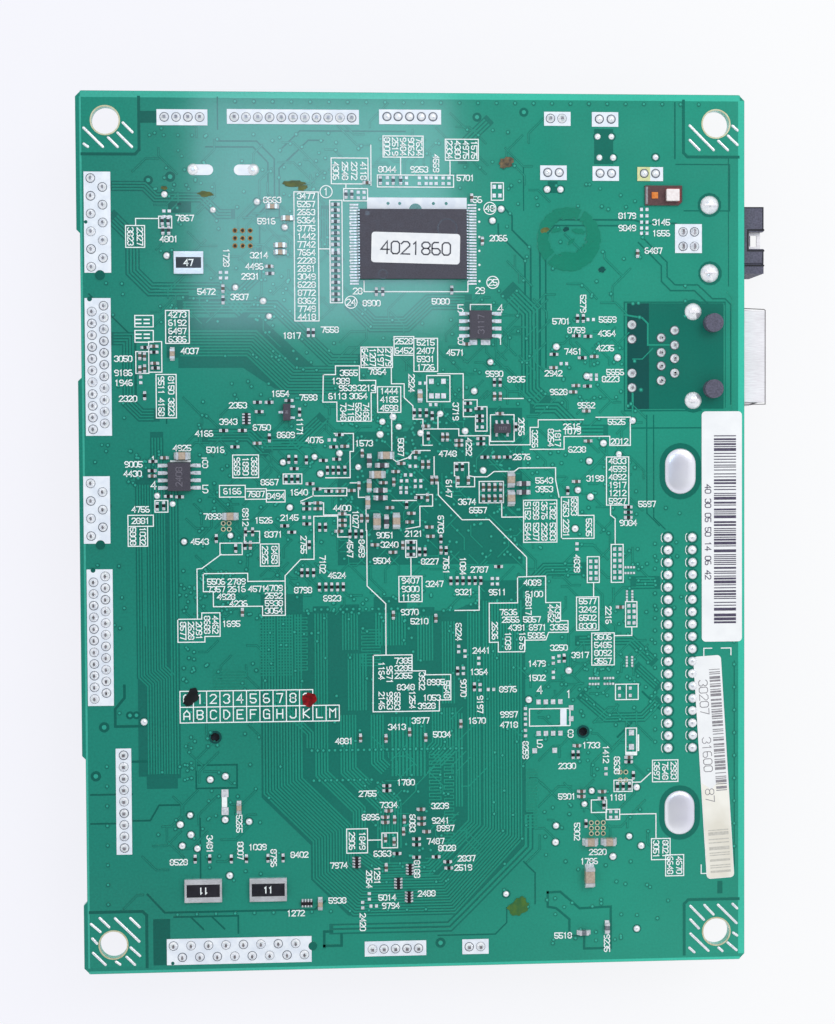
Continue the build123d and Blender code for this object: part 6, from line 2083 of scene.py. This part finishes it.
# Ragged spots on the board: piece, finish, height and each spot's (x, y, half length, half width, turn).
STAINS = [
    ("black_marker_dot", BLACK_INK, 0.14, [(18.7, 47.6, 1.85, 1.15, 50.0), (18.3, 46.9, 1.0, 0.9, 20.0)]),
    ("red_marker_dot", RED_INK, 0.14, [(38.8, 46.8, 1.35, 1.3, 0.0)]),
    ("olive_residue", FLUX, 0.13, [ (21.9, 133.6, 1.4, 0.5, 0.0), (36.9, 135.4, 2.0, 0.6, 0.0),
      (38.4, 134.7, 1.0, 0.5, 20.0), (14.9, 134.6, 0.6, 0.35, 0.0), (80.0, 127.6, 0.9, 0.5, 15.0), ]),
    ("brown_residue", FLUX_BROWN, 0.2, [ (73.4, 139.2, 1.5, 0.9, 15.0), (73.0, 138.9, 0.9, 0.7, 60.0),
      (74.0, 139.6, 0.7, 0.5, 0.0), ]),
    ("dark_specks", POUR_DEEP, 0.12, [ (90.0, 120.8, 0.65, 0.5, 10.0), (83.8, 127.8, 0.6, 0.4, 30.0),
      (17.4, 131.9, 0.4, 0.25, 0.0), ]),
    ("yellow_residue", FLUX_GREEN, 0.12, [(75.0, 10.0, 1.9, 1.6, 20.0), (75.6, 11.0, 1.0, 0.9, 0.0)]),
]
STAMP_SPOTS = [
    (82.0, 127.6, 1.0, 0.4, 10.0), (86.0, 127.4, 1.2, 0.5, -10.0), (84.2, 123.4, 1.6, 0.5, 0.0),
    (84.6, 125.6, 0.8, 0.3, 40.0),
]


@dataclass
class Stains:
    """Ink marks, flux left after soldering and the faint ring of an inspection stamp."""

    draw: random.Random = field(default_factory=lambda: random.Random(13))
    stamp_middle: Point = (84.2, 126.1)
    stamp_inner: float = 3.6
    stamp_outer: float = 5.5
    stamp_steps: int = 60

    def stamp(self) -> None:
        """Prints the stamp's uneven ring, with a few gaps and the spots inside it."""
        layer = Layer(0.1)
        middle_x, middle_y = self.stamp_middle
        for i in range(self.stamp_steps):
            if self.draw.random() < 0.08:
                continue
            a, b = math.tau * i / self.stamp_steps, math.tau * (i + 1) / self.stamp_steps
            inner = self.stamp_inner - 0.9 * max(0.0, math.sin(a + 2.6)) + self.draw.uniform(-0.25, 0.25)
            outer = self.stamp_outer + self.draw.uniform(-0.14, 0.14)
            layer.polygon([
                (middle_x + r * math.cos(t), middle_y + r * math.sin(t))
                for r, t in ((inner, a), (outer, a), (outer, b), (inner, b))
            ])
        for x, y, rx, ry, turn in STAMP_SPOTS:
            layer.blot(x, y, rx, ry, self.draw, turn)
        layer.lay("stamp_ring", STAMP)

    def build(self) -> None:
        """Builds every mark."""
        for name, finish, height, blots in STAINS:
            layer = Layer(height)
            for x, y, rx, ry, turn in blots:
                layer.blot(x, y, rx, ry, self.draw, turn)
            layer.lay(name, finish)
        self.stamp()


@dataclass
class Details:
    """Small moulded details on the chips and the indicator, and painted shade on the indicator and the
    sockets.
    """

    def chips(self) -> None:
        """Adds the moulder's rings, first-pin marks and plain figures."""
        flash = solids_of("flash_chip_body")[0]
        rings = Layer(0.012, base=flash.high)
        rings.ring(63.1, 127.7, 1.75, 1.55, 32)
        rings.disc(49.4, 130.3, 0.4, 14)
        rings.ring(52.0, 119.9, 0.8, 0.68, 20)
        rings.lay("flash_mould_marks", MOULD_POLISH, slot="chip_mould")
        marks = bmesh.new()
        for node, words in CHIP_FIGURES:
            span = solids_of(node)[0]
            layer = Layer(0.012, base=span.high)
            height, turn = min(span.width, span.length) * 0.26, 0.0 if span.along_x else 90.0
            layer.text(words, span.x, span.y, height, turn, 0.13)
            layer.pour(marks)
        add_piece("chip_figures", marks, [MOULD_MARK])

    def indicator(self) -> None:
        """Adds the pale strip of the indicator and the dark red painted shadow at the top and right of its
        block.
        """
        base = solids_of("indicator_base")[0]
        strip = Layer(0.03, base=base.high)
        end = base.x - base.length / 2
        strip.block(end + 0.1, base.y - 1.5, end + 0.5, base.y + 1.5)
        strip.lay("indicator_strip", FADED_INK, slot="indicator_plate")
        block = solids_of("indicator_block")[0]
        # Painted shadow: dark red bands along the top and right of the white block.
        rim = Layer(0.02, base=base.high)
        rim.block(block.x - 1.2, block.y + 0.8, block.x + 1.5, block.y + 1.3)
        rim.block(block.x + 1.0, block.y - 1.2, block.x + 1.5, block.y + 1.3)
        rim.lay("indicator_shadow", RED_SHADOW, slot="indicator_plate")

    def network_shield(self) -> None:
        """Adds the dark painted shade where the network socket's shield turns down at its three outer edges.
        """
        low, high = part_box("ethernet_shield")
        x1, y0, y1 = high[0] / MM - BENCH.low_x, low[1] / MM - BENCH.low_y, high[1] / MM - BENCH.low_y
        # Dark lines of painted shade along the shield's bends.
        bend_shade = Layer(0.012, base=-BENCH.thickness)
        bend_shade.path([(BOARD_WIDTH + 0.1, y1 - 0.16), (x1 - 0.3, y1 - 0.34), (x1 - 0.16, y1 - 0.5)], 0.14)
        bend_shade.path([(x1 - 0.12, y1 - 0.5), (x1 - 0.12, y0 + 0.3)], 0.14)
        bend_shade.path([(BOARD_WIDTH + 0.1, y0 + 0.12), (x1 - 0.1, y0 + 0.2)], 0.12)
        bend_shade.lay("shield_bend_shade", SHIELD_BEND_SHADE, slot="shield_steel")

    def usb_nose(self) -> None:
        """Draws painted shade along the edges of the USB socket's nose and round the notch for its spring."""
        low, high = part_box("usb_nose")
        x1, y = high[0] / MM - BENCH.low_x, (low[1] + high[1]) / 2 / MM - BENCH.low_y
        half = (high[1] - low[1]) / 2 / MM
        # Dark lines of painted shade, in the resistor element's dark finish, along the nose's edges, round
        # the notch and beside the groove.
        edges = Layer(0.012, base=-BENCH.thickness)
        rim = y + half - 0.12
        edges.path([(BOARD_WIDTH + 0.05, rim), (x1 - 0.12, rim), (x1 - 0.12, y + 1.95)], 0.2)
        edges.path([
            (x1 - 0.02, y + 1.8), (x1 - 2.8, y + 1.8), (x1 - 2.8, y - 1.8), (x1 - 0.02, y - 1.8),
        ], 0.3)
        edges.path([(x1 - 0.12, y - 1.95), (x1 - 0.12, y - half + 1.5)], 0.2)
        edges.path([(BOARD_WIDTH + 0.05, y - half + 1.4), (x1 - 0.02, y - half + 1.4)], 0.28)
        edges.lay("usb_nose_painted_shade", ELEMENT, slot="black_plastic")

    def build(self) -> None:
        """Adds every detail."""
        self.chips()
        self.indicator()
        self.network_shield()
        self.usb_nose()


@dataclass
class Underside:
    """Print, copper and marks on the parts on the component side."""

    draw: random.Random = field(default_factory=lambda: random.Random(29))
    gap_height: float = 0.006
    trace_height: float = 0.02
    via_height: float = 0.034
    core_height: float = 0.048
    print_height: float = 0.062
    nodes: tuple[str, ...] = (
        "wire_header_4_way", "wire_header_11_way", "wire_header_2_way_top", "wire_header_9_way",
        "wire_header_5_way",
        "wire_header_2_way_bottom", "cable_socket_11_way", "cable_socket_7_way", "cable_socket_16_way",
        "flat_cable_socket_upper", "flat_cable_socket_lower", "processor_substrate", "memory_chips",
        "power_chips",
        "power_coils", "capacitor_bases", "crystal_rim", "ethernet_housing", "usb_shell",
    )

    def print_and_numbers(self) -> None:
        """Outlines every part in white and numbers it."""
        layer = Layer(self.print_height, underside=True)
        for node in self.nodes:
            for span in solids_of(node):
                x0, x1 = span.x - span.length / 2 - 0.4, span.x + span.length / 2 + 0.4
                y0, y1 = span.y - span.width / 2 - 0.4, span.y + span.width / 2 + 0.4
                x0, x1 = max(x0, 0.6), min(x1, BOARD_WIDTH - 0.4)
                y0, y1 = max(y0, 0.6), min(y1, BOARD_LENGTH - 0.4)
                layer.frame_box(x0, y0, x1, y1, 0.18)
                if y1 + 1.6 < BOARD_LENGTH - 1.0:
                    layer.text(str(self.draw.randrange(100, 999)), span.x, y1 + 0.95, 1.1)
        layer.lay("underside_print", SILK, slot="sticker_paper")

    def copper(self) -> None:
        """Runs bundles of lines between the processor, the memory and the sockets, with their vias."""
        gaps = Layer(self.gap_height, underside=True)
        lines = Layer(self.trace_height, underside=True)
        for points, count, pitch in BUNDLES:
            gaps.path(points, pitch * count + 0.25)
            lines.bundle(points, count, pitch, pitch * 0.56)
        gaps.lay("underside_gaps", POUR_SOFT)
        lines.lay("underside_traces", TRACE)
        rims, cores = Layer(self.via_height, underside=True), Layer(self.core_height, underside=True)
        for x0, y0, x1, y1, count in VIA_AREAS:
            for _ in range(count // 2):
                x, y = self.draw.uniform(x0, x1), self.draw.uniform(y0, y1)
                rims.disc(x, y, 0.36, 8)
                cores.disc(x, y, 0.2, 6)
        rims.lay("underside_via_rims", POUR_DARK)
        cores.lay("underside_via_cores", VIA_CAP)

    def can_print(self) -> None:
        """Prints the dark polarity field and plain figures on the capacitors' tops."""
        marks = bmesh.new()
        for span in solids_of("capacitor_cans"):
            layer = Layer(0.015, underside=True, base=-span.low - BENCH.thickness)
            radius = span.length / 2 - 0.55
            angles = [math.radians(angle) for angle in range(120, 241, 12)]
            layer.polygon([(span.x + radius * math.cos(a), span.y + radius * math.sin(a)) for a in angles])
            for words, up in (("100", 0.9), ("35", -0.9)):
                layer.text(words, span.x + radius * 0.25, span.y + up, radius * 0.34, 0.0, 0.2)
            layer.pour(marks)
        add_piece("can_print", marks, [LABEL_INK])

    def processor_mark(self) -> None:
        """Marks the processor, the memory chips and the power chips with a first-pin dot and figures."""
        marks = bmesh.new()
        for node, height in (("processor_cover", 2.0), ("memory_chips", 1.2), ("power_chips", 0.7)):
            for span in solids_of(node):
                layer = Layer(0.012, underside=True, base=-span.low - BENCH.thickness)
                layer.text(str(self.draw.randrange(1000, 9999)), span.x, span.y, height, 0.0, height * 0.13)
                layer.disc(span.x - span.length / 2 + 0.9, span.y + span.width / 2 - 0.9, 0.35, 12)
                layer.pour(marks)
        add_piece("underside_chip_figures", marks, [MOULD_MARK])

    def build(self) -> None:
        """Builds everything on the component side."""
        self.print_and_numbers()
        self.copper()
        self.can_print()
        self.processor_mark()


# ---------------------------------------------------------------------------------------- carried-over parts
def finish_carried_parts() -> None:
    """Gives every CAD node that stays its slot's finish."""
    slots = {part["node"]: part["material_slot"] for part in frame["record"]["subparts"]}
    for node, part in frame["nodes"].items():
        finish = NODE_FINISH.get(node) or SLOT_FINISH[slots[node]]
        material = finish.build()
        if not part.data.materials:
            part.data.materials.append(material)
        for i in range(len(part.material_slots)):
            part.material_slots[i].material = material
        log.info("%s: %s", node, material.name)


NODE_FINISH: dict[str, Finish] = {
    "crystal_can": CHROME, "wire_header_pins": PIN, "cable_socket_contacts": PIN, "flat_cable_contacts": PIN,
    "ethernet_contacts": PIN, "ethernet_lamp_leads": PIN, "usb_contacts": PIN, "sense_resistor_caps": TIN,
}


# ---------------------------------------------------------------------------------------- studio
@dataclass
class Studio:
    """A plain pale floor, even soft light and the camera over the board."""

    floor_size: float = 3.0
    world_level: float = 0.91
    overhead_level: float = 0.15
    camera_place: tuple[float, float, float] = (-0.02431, 0.01410, 0.345)
    camera_turn: tuple[float, float, float] = (-1.798, -3.910, -0.308)
    lens: float = 67.402

    def floor(self) -> None:
        """Lays the floor and paints it so that it stays pale but keeps the part's shadow; its glow is painted
        darker and bluer to the left as painted shade.
        """
        shape = bmesh.new()
        bmesh.ops.create_grid(shape, x_segments=1, y_segments=1, size=self.floor_size / 2)
        data = bpy.data.meshes.new("floor")
        shape.to_mesh(data)
        shape.free()
        floor = bpy.data.objects.new("floor", data)
        bpy.context.scene.collection.objects.link(floor)
        floor.location.z = -0.0001
        graph = Graph("floor")
        graph.shade({"Base Color": (0.82, 0.82, 0.86, 1.0), "Roughness": 0.9})
        rays = graph.nodes.new("ShaderNodeLightPath")
        lit = graph.nodes.new("ShaderNodeEmission")
        # Painted shade: the floor's glow darkens and turns bluer towards the left.
        across = graph.ranged(graph.axis(graph.place, "X"), -0.09, 0.07, 0.0, 1.0)
        graph.link(graph.mixed(across, (0.935, 0.935, 1.0), (0.99, 0.993, 1.0)), lit.inputs["Color"])
        blend = graph.nodes.new("ShaderNodeMixShader")
        share = graph.ranged(rays.outputs["Is Camera Ray"], 0.0, 1.0, 0.0, 0.86)
        graph.link(share, blend.inputs[0])
        graph.link(graph.shader.outputs[0], blend.inputs[1])
        graph.link(lit.outputs[0], blend.inputs[2])
        graph.link(blend.outputs[0], graph.output.inputs["Surface"])
        data.materials.append(graph.material)

    def lights(self) -> None:
        """Hangs two soft lamps under a pale sky that is dimmer overhead, where the camera stands."""
        world = bpy.data.worlds.new("studio")
        bpy.context.scene.world = world
        world.use_nodes = True
        nodes, links = world.node_tree.nodes, world.node_tree.links
        sky = nodes["Background"]
        sky.inputs["Color"].default_value = (0.96, 0.98, 1.0, 1.0)
        split = nodes.new("ShaderNodeSeparateXYZ")
        links.new(nodes.new("ShaderNodeTexCoord").outputs["Generated"], split.inputs["Vector"])
        level = nodes.new("ShaderNodeMapRange")
        level.interpolation_type = "SMOOTHSTEP"
        set_range(level, 0.86, 0.99, self.world_level, self.overhead_level)
        links.new(split.outputs["Z"], level.inputs["Value"])
        seen = nodes.new("ShaderNodeMix")
        links.new(nodes.new("ShaderNodeLightPath").outputs["Is Camera Ray"], seen.inputs[0])
        links.new(level.outputs["Result"], seen.inputs[2])
        seen.inputs[3].default_value = 1.0
        links.new(seen.outputs[0], sky.inputs["Strength"])
        self.lamp(
            "glare_lamp", (-0.011, 0.096, 0.345), (-0.011, 0.096, 0.0), 0.088, 0.08, 0.11, (0.58, 0.8, 1.0),
        )
        self.lamp("key_lamp", (0.45, 0.5, 0.8), (0.0, 0.0, 0.0), 0.5, 0.5, 2.6, (1.0, 1.0, 1.0))

    def lamp(
        self, name: str, place: Sequence[float], target: Sequence[float],
        length: float, width: float, power: float, colour: Colour,
    ) -> None:
        """Hangs one rectangular lamp.

        Args:
            name: its name.
            place: its middle.
            target: what it points at.
            length: its length.
            width: its width.
            power: its power in watts.
            colour: the colour of its light.
        """
        light = bpy.data.lights.new(name, "AREA")
        light.shape = "RECTANGLE"
        light.size = length
        light.size_y = width
        light.energy = power
        light.color = colour
        lamp = bpy.data.objects.new(name, light)
        lamp.location = place
        lamp.rotation_euler = (Vector(target) - Vector(place)).to_track_quat("-Z", "Y").to_euler()
        lamp.visible_camera = False
        bpy.context.scene.collection.objects.link(lamp)

    def camera(self) -> None:
        """Stands the camera over the board, square to it."""
        data = bpy.data.cameras.new("camera")
        data.lens = self.lens
        data.sensor_width = 36.0
        data.clip_start = 0.01
        camera = bpy.data.objects.new("camera", data)
        camera.location = self.camera_place
        camera.rotation_euler = [math.radians(a) for a in self.camera_turn]
        bpy.context.scene.collection.objects.link(camera)
        bpy.context.scene.camera = camera
        bpy.context.scene.view_settings.view_transform = "Standard"

    def build(self) -> None:
        """Builds the studio."""
        self.floor()
        self.lights()
        self.camera()


def main() -> None:
    """Dresses the board and sets up the studio."""
    logging.basicConfig(level=logging.INFO, format="%(name)s: %(message)s")
    finish_carried_parts()
    CopperWork().build()
    SolderWork().build()
    for row in CHIP_ROWS:
        row.build()
    ResistorArrays().build()
    SenseResistors().build()
    WhitePrint().build()
    Labels().build()
    Stains().build()
    Details().build()
    Underside().build()
    Studio().build()


if __name__ == "__main__":
    main()
